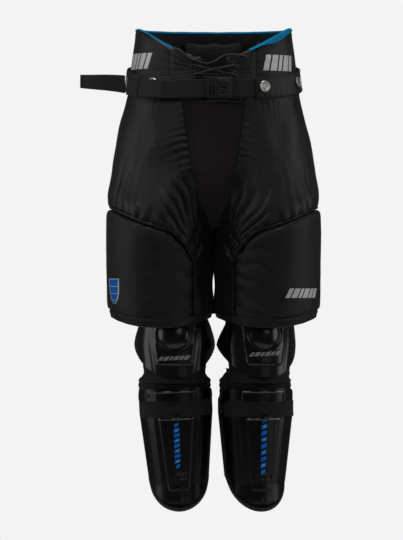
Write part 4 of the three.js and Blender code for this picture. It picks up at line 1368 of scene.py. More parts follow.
# %% Build the belt tunnels
TUNNEL_OFF = 3.6 * MM
TUNNEL_HALF = 15.2 * MM
tunnel_start = float(body_angle(0.055, 0.0))
tunnel_end = math.radians(164)
for side, sign in SIDES.items():
    ends = sorted((sign * tunnel_start, sign * tunnel_end))
    tunnel = strap_on_body(f"belt_tunnel_cloth_{side}", *ends, TUNNEL_OFF - 0.6 * MM, TUNNEL_HALF,
                           1.6 * MM, 170, 1.1, 63)
    points = points_of(tunnel)
    angle = np.arctan2(points[:, 0], -points[:, 1])
    offset = (points[:, 2] - belt_z(angle)) / TUNNEL_HALF
    drawn = np.clip(1 - offset ** 8, 0, 1)
    puckers = np.abs(offset) ** 3 * folds(angle * 0.118, points[:, 2], 0.0085, 65 + sign, 0.5)
    outward = np.stack([np.sin(angle), -np.cos(angle), 0 * angle], -1)
    points += outward * ((0.8 * drawn - 0.9 * puckers) * MM)[:, None]
    set_points(tunnel, points)
    finish_piece(tunnel, "waist", NYLON, (f"belt_tunnel_{side}",))
    rows = []
    for height in (-13.4 * MM, 13.4 * MM):
        fan = np.linspace(*ends, 130)[3:-3]
        x, y = body_xy(fan, belt_z(fan) + height, TUNNEL_OFF + 1.5 * MM)
        rows.append(as_points(x, y, belt_z(fan) + height))
    stitch(f"belt_tunnel_stitches_{side}", rows, "waist")
    print(tunnel.name, len(tunnel.data.polygons), "faces")

# %% Free end, keeper and tip
tip_low, tip_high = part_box("belt_tail_end")
TAIL_NEAR = 3.6 * MM
TAIL_FAR = 10.3 * MM
tail_start = -float(body_angle(7 * MM, 0.0))
tail_full = -float(body_angle(64 * MM, 0.0))
keeper_start = -float(body_angle(94 * MM, 0.0))
keeper_end = keeper_start - 0.281


def tail_off(angle):
    """The free end stands further off the body on its way to the keeper."""
    rise = np.clip((tail_start - angle) / (tail_start - tail_full), 0, 1)
    return TAIL_NEAR + (TAIL_FAR - TAIL_NEAR) * rise ** 2


def tail_drop(angle):
    """Sags a little over the button that it half covers."""
    return -2.6 * MM * smooth((tail_start - angle) / 0.5) * smooth((angle - keeper_end) / 0.25 + 0.25)


def keeper_drop(angle):
    """The keeper hangs a little below the belt line."""
    return np.full_like(angle, -1.5 * MM)


tail = strap_on_body("belt_tail_strap", keeper_end, tail_start, tail_off, BELT_HALF, WEBBING_THICK,
                     120, 0.35, 67, tail_drop)
finish_piece(tail, "waist", WEBBING, ("belt_tail",))
keeper = strap_on_body("tail_keeper_loop", keeper_end + 0.03, keeper_start, TAIL_FAR + 1.5 * MM,
                       13.6 * MM, 1.2 * MM, 30, 0.2, 69, keeper_drop)
finish_piece(keeper, "waist", WEBBING, ("tail_keeper",))

tip_length = tip_high.x - tip_low.x


def tip_surface(u, v):
    """The loose end rises and narrows towards its stitched tip, with a soft wave along it."""
    away = 1 - u
    half = BELT_HALF * (1 - 0.25 * away)
    x = tip_low.x + tip_length * u
    root_z = (tip_low.z + tip_high.z) / 2
    y = tip_low.y + 10 * MM * away ** 1.5 + 1.2 * MM * np.sin(5.5 * away)
    z = root_z - 3.2 * MM + 6 * MM * away + 0.8 * MM * np.sin(4 * away + 0.6) + (2 * v - 1) * half
    twist = 2.5 * MM * away * (2 * v - 1)
    return x, y + twist, z


tip = sheet("belt_tail_tip", tip_surface, 70, 13)
thicken(tip, WEBBING_THICK)
unwrap_round(tip, (0, 0), 0.15)
finish_piece(tip, "belt_tail_end", WEBBING, ("belt_tail_end",))
tip_rows = []
for inset in (0.035, 0.075):
    v_run = np.linspace(0.1, 0.9, 12)
    row = as_points(*tip_surface(np.full(12, inset), v_run))
    row[:, 1] -= 0.2 * MM
    tip_rows.append(row)
stitch("belt_tip_stitches", tip_rows, "belt_tail_end", 2.4 * MM)
print("belt laid")

# %% [markdown]
# ## Buckle
# A side-release buckle has a socket with a window at each side, and a plug whose two prongs snap
# into those windows. The plug carries a ladder, where the webbing doubles back to set its
# length. Every edge of a moulded part is rounded, so the blocks are bevelled boxes joined up.


# %% Build the buckle
def blocks(name, boxes, bevel=0.7 * MM):
    """Rounded boxes, each given by its lowest and highest corner, as one piece."""
    mesh = bmesh.new()
    for low, high in boxes:
        low, high = Vector(low), Vector(high)
        size = Matrix.Diagonal((*(high - low), 1))
        bmesh.ops.create_cube(mesh, size=1, matrix=Matrix.Translation((low + high) / 2) @ size)
    bmesh.ops.bevel(mesh, geom=list(mesh.edges), offset=bevel, segments=3, profile=0.6, affect="EDGES")
    data = bpy.data.meshes.new(name)
    mesh.to_mesh(data)
    mesh.free()
    data.uv_layers.new(name="cloth")
    piece = bpy.data.objects.new(name, data)
    bpy.context.scene.collection.objects.link(piece)
    return piece


front_y, back_y = buckle_low.y, buckle_high.y
low_z, high_z = buckle_low.z, buckle_high.z
mid_z = (low_z + high_z) / 2
split_x, right_x, left_x = buckle_low.x, buckle_high.x, plug_low.x
wall = 2.2 * MM
socket_boxes = [
    ((split_x, front_y + wall, high_z - wall), (right_x, back_y, high_z)),
    ((split_x, front_y + wall, low_z), (right_x, back_y, low_z + wall)),
    ((split_x, front_y, low_z + 1 * MM), (right_x - 3 * MM, front_y + wall, mid_z - 0.8 * MM)),
    ((split_x, front_y, mid_z + 0.8 * MM), (right_x - 3 * MM, front_y + wall, high_z - 1 * MM)),
    ((split_x, front_y, mid_z - 2 * MM), (split_x + 4.5 * MM, front_y + wall, mid_z + 2 * MM)),
    ((right_x - 9 * MM, front_y, mid_z - 2 * MM), (right_x - 3 * MM, front_y + wall, mid_z + 2 * MM)),
    ((right_x - 3.4 * MM, front_y + 0.6 * MM, low_z), (right_x, back_y, high_z)),
    ((split_x, back_y - wall, low_z + 1 * MM), (right_x, back_y, high_z - 1 * MM)),
]
for z in (high_z - 5.5 * MM, low_z + 3.8 * MM):
    socket_boxes.append(((split_x + 1 * MM, front_y - 0.9 * MM, z),
                         (right_x - 5 * MM, front_y + 1 * MM, z + 1.7 * MM)))
socket = blocks("buckle_socket_moulding", socket_boxes, 0.6 * MM)
finish_piece(socket, "waist", BUCKLE, ("buckle_socket",), sharp=50)
bars = [left_x, left_x + 4.9 * MM, left_x + 9.6 * MM]
plug_boxes = [((x, front_y + 0.4 * MM, low_z + 0.6 * MM),
               (x + 2.7 * MM, back_y - 0.5 * MM, high_z - 0.6 * MM)) for x in bars]
plug_boxes += [((left_x, front_y + 1 * MM, z), (split_x - 0.3 * MM, back_y - 1 * MM, z + 2.4 * MM))
               for z in (low_z + 0.6 * MM, high_z - 3 * MM)]
plug_boxes += [((split_x - 1.4 * MM, front_y + 3 * MM, z - 2.2 * MM),
                (plug_high.x - 1 * MM, back_y - 3 * MM, z + 2.2 * MM))
               for z in (low_z + 5.5 * MM, mid_z, high_z - 5.5 * MM)]
plug = blocks("buckle_plug_moulding", plug_boxes, 0.5 * MM)
finish_piece(plug, "buckle_plug", BUCKLE, ("buckle_plug",), sharp=50)
print("buckle built from", len(socket_boxes) + len(plug_boxes), "rounded blocks")

# %% [markdown]
# ## Shin guards
# Each guard hangs out of its trouser leg. All its parts are walls wrapped round the front of
# the leg, drawn in the guard's own upright space and then turned to face the way that leg
# faces. Relief such as a dome, a ridge or a groove is a height added to the wall, which keeps
# every part one clean sheet of quads.

# %% Guard space
KNEE_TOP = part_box("left_knee_cap")[1].z
KNEE_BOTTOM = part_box("left_knee_cap")[0].z
NECK_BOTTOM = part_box("left_knee_liner")[0].z
SHIN_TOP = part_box("left_shin_liner")[1].z
SHIN_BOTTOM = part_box("left_shin_liner")[0].z
PLATE_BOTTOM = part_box("left_upper_plate")[0].z
KNEE_HALF, KNEE_DEEP = 54.5 * MM, 63 * MM
SHIN_HALF, SHIN_DEEP = 53 * MM, 55 * MM
WRAP = math.radians(98)
GUARDS = {
    "left": {"x": 57.5 * MM, "yaw": math.radians(13), "tilt": 0.0},
    "right": {"x": -54.5 * MM, "yaw": 0.0, "tilt": math.radians(2.5)},
}


def guard_place(side, tilted):
    """From the guard's own space to the frame."""
    guard = GUARDS[side]
    place = Matrix.Translation((guard["x"], -8 * MM, 0)) @ Matrix.Rotation(guard["yaw"], 4, "Z")
    if tilted:
        pivot = Matrix.Translation((0, 0, NECK_BOTTOM))
        place = place @ pivot @ Matrix.Rotation(-guard["tilt"], 4, "Y") @ pivot.inverted()
    return place


def round_off(distance, length):
    t = np.clip(1 - distance / length, 0, 1)
    return np.sqrt(np.maximum(0, 1 - t ** 2.2))


def shin_taper(z):
    return 42 / 53 + (1 - 42 / 53) * np.clip((z - SHIN_BOTTOM - 0.035) / 0.100, 0, 1)


# %% Walls wrapped round a guard
def wrap_xyz(half, deep, u, z, share, taper=None, relief=None, out=0.0):
    """u from -1 to 1 across the wall; share narrows its outline; relief stands out from it."""
    reach = np.clip(share(z), 0.05, 1)
    span = np.where(reach >= 0.9999, WRAP, np.arcsin(np.minimum(reach, 0.9999)))
    angle = u * span
    scale = taper(z) if taper else 1.0
    x = half * scale * np.sin(angle)
    proud = relief(x, z) if relief else 0.0
    return (half + out) * scale * np.sin(angle), -(deep + proud + out) * scale * np.cos(angle), z


def wrap_sheet(name, low, high, nu, nv, thickness, **shape):
    def surface(u, v):
        z = low + (high - low) * (1 - np.cos(np.pi * v)) / 2
        x, y, z = wrap_xyz(shape["half"], shape["deep"], 2 * u - 1, z, shape["share"], shape.get("taper"),
                           shape.get("relief"), shape.get("out", 0.0))
        return (x * shape["flare"](z) if "flare" in shape else x), y, z
    piece = sheet(name, surface, nu, nv)
    thicken(piece, thickness, shape.get("round_edge", True))
    return piece


def place_piece(piece, side, tilted):
    piece.data.transform(guard_place(side, tilted))
    guard = GUARDS[side]
    return unwrap_round(piece, (guard["x"], -8 * MM), 0.055)


def step_in(value, edge, soft):
    """1 inside the edge, 0 outside, with a soft shoulder."""
    return smooth((edge - value) / soft + 0.5)


# %% [markdown]
# ## Knee caps
# The knee cap is the one glossy part: a moulded shell with a round dome for the kneecap set in
# a ring groove, a raised middle panel, and two wings that sweep back round the knee. Small
# radii at its edges matter most, since gloss is read from the thin highlights that they catch.

# %% Outline and relief of the knee
DOME_Z = KNEE_TOP - 54 * MM


def knee_share(z):
    return np.minimum(round_off(KNEE_TOP - z, 0.078), round_off(z - KNEE_BOTTOM, 0.050))


def knee_relief(x, z):
    away = np.hypot(x, (z - DOME_Z) * 1.05)
    dome = 5.2 * MM * np.clip(1 - (away / (20.5 * MM)) ** 2, 0, 1) ** 0.8
    ring = -1.5 * MM * bump(away - 22.5 * MM, 1.5 * MM) + 0.9 * MM * bump(away - 25.5 * MM, 1.4 * MM)
    below = DOME_Z - z
    middle = step_in(np.abs(x), 29 * MM - 0.12 * below, 2.2 * MM) * step_in(below, 43 * MM, 2.5 * MM)
    wing_line = -0.4 * MM * bump(np.abs(x) - 34 * MM + 0.10 * below, 2.0 * MM)
    wing = 1.6 * MM * bump(np.abs(x) - 47 * MM, 11 * MM)
    return dome + ring + 1.7 * MM * middle + wing_line + wing


def knee_flare(z):
    """The wings stand out a little at the height of the dome."""
    return 1 + 0.04 * bump(z - DOME_Z + 16 * MM, 18 * MM)


def neck_share(z):
    base = 47 / 54.5 + (0.955 - 47 / 54.5) * smooth((z - KNEE_BOTTOM) / 0.050)
    return np.minimum(base, round_off(KNEE_TOP + 0.008 - z, 0.034))


# %% Build knee caps and knee liners
for side in SIDES:
    cap = wrap_sheet(f"{side}_knee_shell", KNEE_BOTTOM + 1 * MM, KNEE_TOP - 1 * MM, 120, 90, 3 * MM,
                     half=KNEE_HALF, deep=KNEE_DEEP, share=knee_share, relief=knee_relief, flare=knee_flare)
    place_piece(cap, side, False)
    finish_piece(cap, f"{side}_knee", KNEE_GLOSS, (f"{side}_knee_cap",), sharp=50)

    liner = wrap_sheet(f"{side}_knee_foam", NECK_BOTTOM, KNEE_TOP + 6 * MM, 90, 60, 8.5 * MM, half=KNEE_HALF,
                       deep=KNEE_DEEP, share=neck_share, out=-6 * MM, round_edge=True)
    co = points_of(liner)
    ribs = 0.9 * np.abs(np.sin(np.pi * (co[:, 2] - NECK_BOTTOM) / (9 * MM))) ** 0.7
    ribs = ribs * (co[:, 2] < KNEE_BOTTOM + 0.03)
    push(liner, (ribs + 0.8 * ripple(co, (40, 40, 40), 71)) * MM)
    place_piece(liner, side, False)
    finish_piece(liner, f"{side}_knee", FOAM, (f"{side}_knee_liner",), sharp=60)


# %% Build the sleeves below the knees
def sleeve_surface(u, v):
    """A soft bellows between the knee liner and the shin liner."""
    z = NECK_BOTTOM - 24 * MM + 44 * MM * v
    angle = (2 * u - 1) * math.radians(94)
    rib = 1.3 * MM * np.abs(np.sin(np.pi * (z - NECK_BOTTOM) / (8 * MM))) ** 0.7
    ease = 1.5 * MM * np.sin(np.pi * v)
    out = rib + ease - 8.5 * MM
    half = 48 * MM + 8.5 * MM * smooth((NECK_BOTTOM + 16 * MM - z) / (14 * MM))
    return (half + out) * np.sin(angle), -(57 * MM + out) * np.cos(angle), z


for side in SIDES:
    sleeve = sheet(f"{side}_neck_sleeve", sleeve_surface, 90, 60)
    co = points_of(sleeve)
    push(sleeve, 0.7 * MM * ripple(co, (50, 50, 60), 73))
    thicken(sleeve, 3 * MM, round_edge=False)
    place_piece(sleeve, side, False)
    neck = guard_place(side, False) @ Vector((0, -10 * MM, 0))
    bend_top = (neck.x, neck.y, NECK_BOTTOM + 12 * MM)
    bend_bottom = (neck.x, neck.y, NECK_BOTTOM - 12 * MM)
    knee_bend = (f"{side}_knee", f"{side}_shin", bend_top, bend_bottom)
    finish_piece(sleeve, knee_bend, FOAM, sharp=60)
print("knees built")

# %% [markdown]
# ## Shins
# Below the knee a short upper plate is riveted over the long shin shell. Both are satin black
# with raised panels, and each has a polished bead along its top edge. The foam liner shows as a
# soft rim all round. A soft strap crosses the plate, and the calf strap closes the guard behind.


# %% Outline and relief of the shin
def plate_share(z):
    return 0.95 * round_off(SHIN_TOP - z + 4 * MM, 0.014)


def plate_relief(x, z):
    top = SHIN_TOP - z
    bar = step_in(np.abs(x), 29 * MM, 2.5 * MM) * step_in(np.abs(top - 16 * MM), 9.5 * MM, 1.5 * MM)
    band = step_in(np.abs(top - 29 * MM), 4.5 * MM, 1.2 * MM)
    return 1.6 * MM * bar + 1.0 * MM * band


def shell_share(z):
    return 0.96 * round_off(z - SHIN_BOTTOM - 6 * MM, 0.044)


def shin_relief(x, z):
    drop = PLATE_BOTTOM - z
    half_panel = 24 * MM - 0.09 * drop
    panel = step_in(np.abs(x), half_panel, 2.2 * MM) * step_in(-drop, -5 * MM, 1.6 * MM)
    panel = panel * step_in(drop, 108 * MM, 3 * MM)
    ridge = 3.0 * MM * bump(x, 9 * MM) * step_in(-drop, -3 * MM, 4 * MM)
    beside = np.abs(x) - half_panel
    ribs = 0.9 * MM * (bump(beside - 8 * MM, 2.2 * MM) + bump(beside - 16 * MM, 2.2 * MM))
    ribs = ribs * step_in(np.abs(drop - 55 * MM), 44 * MM, 10 * MM)
    recess = step_in(np.abs(x - 5 * MM), 8 * MM, 1.5 * MM)
    recess = recess * step_in(np.abs(drop - 89 * MM), 3.6 * MM, 1.2 * MM)
    rim = 0.8 * MM * bump(z - SHIN_BOTTOM - 12 * MM, 2.2 * MM)
    return 1.4 * MM * panel + ridge + ribs - 1.6 * MM * recess + rim


def liner_share(z):
    return round_off(z - SHIN_BOTTOM, 0.046) * (0.93 + round_off(SHIN_TOP - z + 2 * MM, 0.020) * 0.07)


# %% Build upper plates, shin shells and liners
RIM_INSET = -4.2 * MM
BEAD_POINTS = 50
BEAD_GLOSS = plastic("polished_shin_bead", (0.004, 0.004, 0.004), (0.008, 0.008, 0.008), 0.10,
                     0.00002, level=1.0)
# Height, share, taper, relief and reach of the bead on the plate and of the bead on the shell.
BEADS = (
    (SHIN_TOP - 7 * MM, plate_share, None, plate_relief, 1.0),
    (PLATE_BOTTOM - 9 * MM, shell_share, shin_taper, shin_relief, 0.78),
)
RIM = cloth("grey_blue_rim", (0.010, 0.013, 0.018), (0.017, 0.021, 0.028), 0.7, 0.06,
            (0.0018, 0.0018), 0.0002, crease=0.4)
for side in SIDES:
    plate = wrap_sheet(f"{side}_upper_shin_plate", PLATE_BOTTOM + 0.4 * MM, SHIN_TOP - 2 * MM, 110, 40,
                       3 * MM, half=SHIN_HALF, deep=SHIN_DEEP, share=plate_share, relief=plate_relief)
    place_piece(plate, side, True)
    finish_piece(plate, f"{side}_shin", SHIN_SATIN, (f"{side}_upper_plate",), sharp=50)

    for number, (bead_z, share, taper, relief, reach) in enumerate(BEADS, 1):
        bead_u = np.linspace(-0.46, 0.46, BEAD_POINTS) * reach
        heights = np.full(BEAD_POINTS, bead_z)
        line = wrap_xyz(SHIN_HALF, SHIN_DEEP, bead_u, heights, share, taper, relief, 0.2 * MM)
        bead = tube(f"{side}_shin_bead_{number}", as_points(*line), 1.9 * MM, 12, 1.5 * MM)
        place_piece(bead, side, True)
        finish_piece(bead, f"{side}_shin", BEAD_GLOSS)

    shell = wrap_sheet(f"{side}_shin_moulding", SHIN_BOTTOM + 7 * MM, PLATE_BOTTOM - 0.4 * MM, 130, 110,
                       3 * MM, half=SHIN_HALF, deep=SHIN_DEEP, share=shell_share, taper=shin_taper,
                       relief=shin_relief)
    place_piece(shell, side, True)
    finish_piece(shell, f"{side}_shin", SHIN_SATIN, (f"{side}_shin_shell",), sharp=50)

    foam = wrap_sheet(f"{side}_shin_foam", SHIN_BOTTOM, SHIN_TOP, 100, 90, 8.5 * MM, half=SHIN_HALF,
                      deep=SHIN_DEEP, share=liner_share, taper=shin_taper, out=-6 * MM)
    co = points_of(foam)
    quilt = np.cos(np.pi * co[:, 2] / (21 * MM)) ** 8 * (co[:, 1] > -SHIN_DEEP + 0.012)
    push(foam, (0.8 * ripple(co, (40, 40, 30), 75) - 1.0 * quilt) * MM)
    place_piece(foam, side, True)
    finish_piece(foam, f"{side}_shin", FOAM, (f"{side}_shin_liner",), sharp=60)

    edge_v = np.linspace(0.004, 0.97, 120)
    edge_z = SHIN_BOTTOM + (SHIN_TOP - 6 * MM - SHIN_BOTTOM) * (1 - np.cos(np.pi * edge_v)) / 2
    halves = []
    for across in (-1, 1):
        halves.append(as_points(*wrap_xyz(
            SHIN_HALF, SHIN_DEEP, across, edge_z, liner_share, shin_taper, None, RIM_INSET)))
    rim_line = np.concatenate([halves[0][::-1], halves[1]])
    rim = tube(f"{side}_shin_rim", rim_line, 3.0 * MM, 10, 3 * MM)
    place_piece(rim, side, True)
    finish_piece(rim, f"{side}_shin", RIM)
print("shins built")

# %% [markdown]
# ## Rivets and straps
# The rivets are copies of one turned shape, set on the plate by the same tree as the buttons.
# The straps are plain sheets with the thickness of webbing. A hanger strap joins each guard to
# the inside of its trouser leg, where it can only be seen from above.

# %% Points and straps on the guards
def wrap_spot(half, deep, u, z, share, taper, relief, side, tilted, out=0.0):
    """A point on a wrapped wall and its outward direction, in the frame."""

    def at(du, dz):
        point = wrap_xyz(half, deep, np.array(u + du), np.array(z + dz), share, taper, relief, out)
        return Vector([float(c) for c in np.broadcast_arrays(*point)])
    normal = (at(0.01, 0) - at(-0.01, 0)).cross(at(0, 0.001) - at(0, -0.001)).normalized()
    place = guard_place(side, tilted)
    return place @ at(0, 0), place.to_3x3() @ normal


def strap_share(z):
    """The soft strap is as wide as the plate at every height."""
    return np.full_like(z, 0.95)


def front_strap_surface(u, v):
    """The soft strap across the front of the upper plate."""
    z = SHIN_TOP - 42 * MM + 22 * MM * v + 0.8 * MM * np.sin(9 * u)
    return wrap_xyz(SHIN_HALF, SHIN_DEEP, 1.84 * u - 0.92, z, strap_share, out=1.7 * MM)


def calf_strap_surface():
    pull = SHIN_HALF - 10.5 * MM
    start_y = -(SHIN_DEEP - 6 * MM) * math.cos(WRAP) + 1 * MM

    def surface(u, v):
        turn = np.pi / 2 - np.pi * u
        sag = 2.0 * MM * np.cos(turn) ** 2
        z = SHIN_TOP - 31 * MM + (2 * v - 1) * BELT_HALF - sag
        ease = 1.0 * MM * np.sin(7 * turn)
        return pull * np.sin(turn), (40 * MM + ease) * np.cos(turn) + start_y, z
    return surface


# %% Build rivets, calf straps and suspension straps
for side, sign in SIDES.items():
    spots = [wrap_spot(SHIN_HALF, SHIN_DEEP, u, z, plate_share, None, plate_relief, side, True)
             for z in (SHIN_TOP - 12 * MM, SHIN_TOP - 29 * MM) for u in (-0.62, 0.62)]
    set_pieces(f"{side}_plate_rivets", rivet_shape, spots, f"{side}_shin", SHIN_SATIN,
               size=0.9)

    front = sheet(f"{side}_shin_front_strap", front_strap_surface, 110, 16)
    push(front, 0.5 * MM * ripple(points_of(front), (60, 60, 60), 77))
    thicken(front, 1.8 * MM)
    place_piece(front, side, True)
    finish_piece(front, f"{side}_shin", FOAM)

    strap = sheet(f"{side}_calf_webbing", calf_strap_surface(), 80, 11)
    thicken(strap, WEBBING_THICK)
    place_piece(strap, side, True)
    finish_piece(strap, f"{side}_shin", WEBBING, (f"{side}_calf_strap",))

    low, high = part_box(f"{side}_suspension_strap")

    def hanger_surface(u, v):
        slack = 1.5 * MM * np.sin(np.pi * v)
        y = low.y + 1.2 * MM + (high.y - low.y - 2.4 * MM) * (1 - v) + slack
        return low.x + (high.x - low.x) * u, y, low.z + (high.z - low.z) * v
    hanger = sheet(f"{side}_hanger_strap", hanger_surface, 16, 40)
    thicken(hanger, WEBBING_THICK)
    unwrap_round(hanger, (sign * LEG_X, 0))
    finish_piece(hanger, f"{side}_thigh", WEBBING, (f"{side}_suspension_strap",))
print("straps and rivets set")

# %% [markdown]
# ## Prints and patches
# The real garment carries printed words. They are left out, and plain slanted blocks stand in
# their places. Each block is a small grid laid on the cloth: every point is dropped onto the
# surface below it, so the print follows the creases, then the block gets a little thickness.

# %% Laying a print on a surface

def surface_tree(*pieces):
    """For finding the nearest surface of some finished pieces."""
    points, faces = [], []
    for piece in pieces:
        start = len(points)
        points += [v.co.copy() for v in piece.data.vertices]
        faces += [tuple(start + i for i in p.vertices) for p in piece.data.polygons]
    return BVHTree.FromPolygons(points, faces)


def drop_on(points, inward, tree, lift):
    """Moves each point along its inward direction onto the surface, less the lift."""
    landed = []
    for point, direction in zip(points, inward):
        direction = Vector(direction).normalized()
        start = Vector(point) - direction * 0.02
        hit = tree.ray_cast(start, direction, 0.05)[0]
        landed.append((hit if hit is not None else Vector(point)) - direction * lift)
    return np.array([tuple(p) for p in landed])


# %% Blocks that stand for words
def slanted_blocks(widths, gap, height, slant):
    """Outlines in (along, up) metres: low left, low right, top right, top left, centred on zero."""
    total = sum(widths) + gap * (len(widths) - 1)
    at = -total / 2
    outlines = []
    for width in widths:
        lean = slant * height / 2
        outlines.append([(at - lean, -height / 2), (at + width - lean, -height / 2),
                         (at + width + lean, height / 2), (at + lean, height / 2)])
        at += width + gap
    return outlines


def print_on(name, outlines, wall, tree, body, material, lift=0.35 * MM):
    """wall(along, up) gives a point near the surface and the direction into it."""
    all_points, all_faces = [], []
    for low_left, low_right, top_right, top_left in outlines:
        u, v = np.meshgrid(np.linspace(0, 1, 7), np.linspace(0, 1, 9))
        a, b, c, d = (np.array(p) for p in (low_left, low_right, top_right, top_left))
        flat = ((a * (1 - u)[..., None] + b * u[..., None]) * (1 - v)[..., None]
                + (d * (1 - u)[..., None] + c * u[..., None]) * v[..., None]).reshape(-1, 2)
        spots, inward = zip(*[wall(along, up) for along, up in flat])
        landed = drop_on(spots, inward, tree, lift)
        all_faces += [tuple(f + len(all_points)) for f in grid_faces(7, 9)]
        all_points += [tuple(p) for p in landed]
    piece = new_object(name, all_points, all_faces)
    thicken(piece, 0.5 * MM, round_edge=False)
    unwrap_round(piece)
    return finish_piece(piece, body, material, sharp=60)


# %% Waistband and thigh prints
band_tree = surface_tree(band)


def band_wall(middle_x, middle_z):
    def wall(along, up):
        angle = float(np.sign(middle_x) * body_angle(abs(middle_x), middle_z)) + along / 0.105
        x, y = body_xy(np.array(angle), np.array(middle_z + up))
        return (float(x), float(y), middle_z + up), (-math.sin(angle), math.cos(angle), 0)
    return wall


BAND_BLOCKS = [w * 1.65 for w in (5.5 * MM, 7 * MM, 4 * MM, 7.5 * MM, 5.5 * MM)]
BAND_PRINT_AT = {"left": (0.093, 0.028), "right": (-0.105, 0.031)}
for side in SIDES:
    outlines = slanted_blocks(BAND_BLOCKS, 3.2 * MM, 22 * MM, 0.32)
    print_on(f"waistband_print_{side}", outlines, band_wall(*BAND_PRINT_AT[side]), band_tree,
             "waist", MARK_WHITE)


def thigh_wall(side, middle, middle_z):
    sign = SIDES[side]

    def wall(along, up):
        theta = middle + along / 0.088
        x, y = leg_xy(np.array(theta), np.array(middle_z + up))
        return (float(x) * sign, float(y), middle_z + up), (-math.sin(theta) * sign, math.cos(theta), 0)
    return wall


thigh_pads = {side: bpy.data.objects[f"{side}_thigh_pad_cover"] for side in SIDES}
thigh_outlines = slanted_blocks([8 * MM, 11 * MM, 6 * MM, 11 * MM, 8 * MM, 10 * MM], 2.6 * MM, 13 * MM, 0.6)
print_on("left_thigh_print", thigh_outlines, thigh_wall("left", math.radians(40), -0.291),
         surface_tree(thigh_pads["left"]), "left_thigh", MARK_WHITE)

shield_tree = surface_tree(thigh_pads["right"])
# Height and half-width of the shield's rows, in millimetres.
SHIELD_ROWS = [(-19, 3.0), (-13, 10.5), (-4, 14.5), (6, 15.5), (16, 16.5)]
SHIELD_BORDER = 3


def upright_block(low, low_half, high, high_half):
    """A four-sided outline that widens or narrows upwards; sizes in millimetres."""
    return [(-low_half * MM, low * MM), (low_half * MM, low * MM),
            (high_half * MM, high * MM), (-high_half * MM, high * MM)]


shield_back = []
shield_face = []
for (low, low_half), (high, high_half) in zip(SHIELD_ROWS, SHIELD_ROWS[1:]):
    shield_back.append(upright_block(low, low_half, high, high_half))
    inner_low = max(low_half - SHIELD_BORDER, 0.8)
    shield_face.append(upright_block(low, inner_low, high - 1, high_half - SHIELD_BORDER))
shield_wall = thigh_wall("right", math.radians(56), -0.287)
print_on("right_thigh_patch_border", shield_back, shield_wall, shield_tree, "right_thigh",
         MARK_WHITE)
print_on("right_thigh_patch_face", shield_face, shield_wall, shield_tree, "right_thigh",
         MARK_BLUE, 0.8 * MM)
print("shield rows:", len(shield_back))

# %% Knee and shin prints
KNEE_BLOCKS = [4.5 * MM, 6.5 * MM, 4 * MM, 6.5 * MM, 4.5 * MM, 6.5 * MM]
KNEE_PRINT_RISE = {"left": 33 * MM, "right": 27 * MM}
SHIN_PRINT_STRETCH = {"left": 1.25, "right": 1.0}
for side in SIDES:
    knee_tree = surface_tree(bpy.data.objects[f"{side}_knee_shell"])
    place = guard_place(side, False)
    inward = place.to_3x3() @ Vector((0, 1, 0))

    def knee_wall(along, up):
        height = KNEE_BOTTOM + KNEE_PRINT_RISE[side] + up + 0.05 * along
        return tuple(place @ Vector((along, -KNEE_DEEP - 2 * MM, height))), tuple(inward)
    knee_outlines = slanted_blocks(KNEE_BLOCKS, 1.9 * MM, 5.5 * MM, 0.8)
    print_on(f"{side}_knee_print", knee_outlines, knee_wall, knee_tree, f"{side}_knee", MARK_SILVER,
             0.25 * MM)

    shin_tree = surface_tree(bpy.data.objects[f"{side}_shin_moulding"])
    tilted = guard_place(side, True)
    inward = tilted.to_3x3() @ Vector((0, 1, 0))

    def shin_wall(along, up):
        height = SHIN_TOP - 81 * MM + up * SHIN_PRINT_STRETCH[side]
        return tuple(tilted @ Vector((along, -SHIN_DEEP - 3 * MM, height))), tuple(inward)
    bars, pale = [], []
    for i in range(9):
        low = (-33 + 7.2 * i) * MM
        wide = (3.9 if i not in (0, 8) else 2.8) * MM
        bars.append([(-wide, low), (wide, low + 2.4 * MM), (wide, low + 7.2 * MM), (-wide, low + 4.8 * MM)])
        if i % 2:
            pale.append([(-wide * 0.5, low + 1.9 * MM), (wide * 0.5, low + 3.1 * MM),
                         (wide * 0.5, low + 5.3 * MM), (-wide * 0.5, low + 4.1 * MM)])
    print_on(f"{side}_shin_print", bars, shin_wall, shin_tree, f"{side}_shin", MARK_BLUE,
             0.25 * MM)
    print_on(f"{side}_shin_print_dots", pale, shin_wall, shin_tree, f"{side}_shin", MARK_PALE,
             0.6 * MM)
print("prints laid")

# %% [markdown]
# ## Seam stitches on the shell
# Rows of stitches hold the stretch panel, the seat seam and the waistband's top edge. Their
# lines are taken from the same formulas as the cloth and then dropped onto the finished folds.

# %% Seam stitches
def laid_on(line, tree, sideways=1.0):
    """Drops a line onto a surface, towards the middle of the body; sideways below 1 aims at the back."""
    line = resample(line, 2 * MM)
    inward = as_points(-line[:, 0] * sideways, -line[:, 1], 0 * line[:, 0])
    return drop_on(line, inward, tree, 0.25 * MM)


for side, sign in SIDES.items():
    shell = bpy.data.objects[f"shell_{side}"]
    shell_tree = surface_tree(shell)
    rise = np.linspace(CROTCH_Z + 10 * MM, GUSSET_TOP_Z - 4 * MM, 90)
    seams = []
    for angle, first in ((gusset_angle(rise) + 0.045, 30), (np.full_like(rise, np.pi - 0.045), 40)):
        x, y, z = shell_xyz(angle, rise)
        seams.append(laid_on(as_points(x * sign, y, z)[first:], shell_tree, 0.2))
    stitch(f"shell_seam_stitches_{side}", seams, "waist")

around = np.linspace(FLY_ANGLE + 0.05, 2 * np.pi - FLY_ANGLE - 0.05, 400)
high = waist_top_z(around) - 7 * MM
x, y = body_xy(around, high)
stitch("waistband_top_stitches", [laid_on(as_points(x, y, high), band_tree)], "waist")
print("seams stitched")

# %% [markdown]
# ## Inside the pants
# Behind the shell sit the parts that protect: moulded caps over each hip and thigh, hip and
# kidney foam, and a long tailbone pad. They are seen from above and below, so the pads are
# made like the thigh pads, with stitched channels, and the caps as ribbed sheets of plastic.


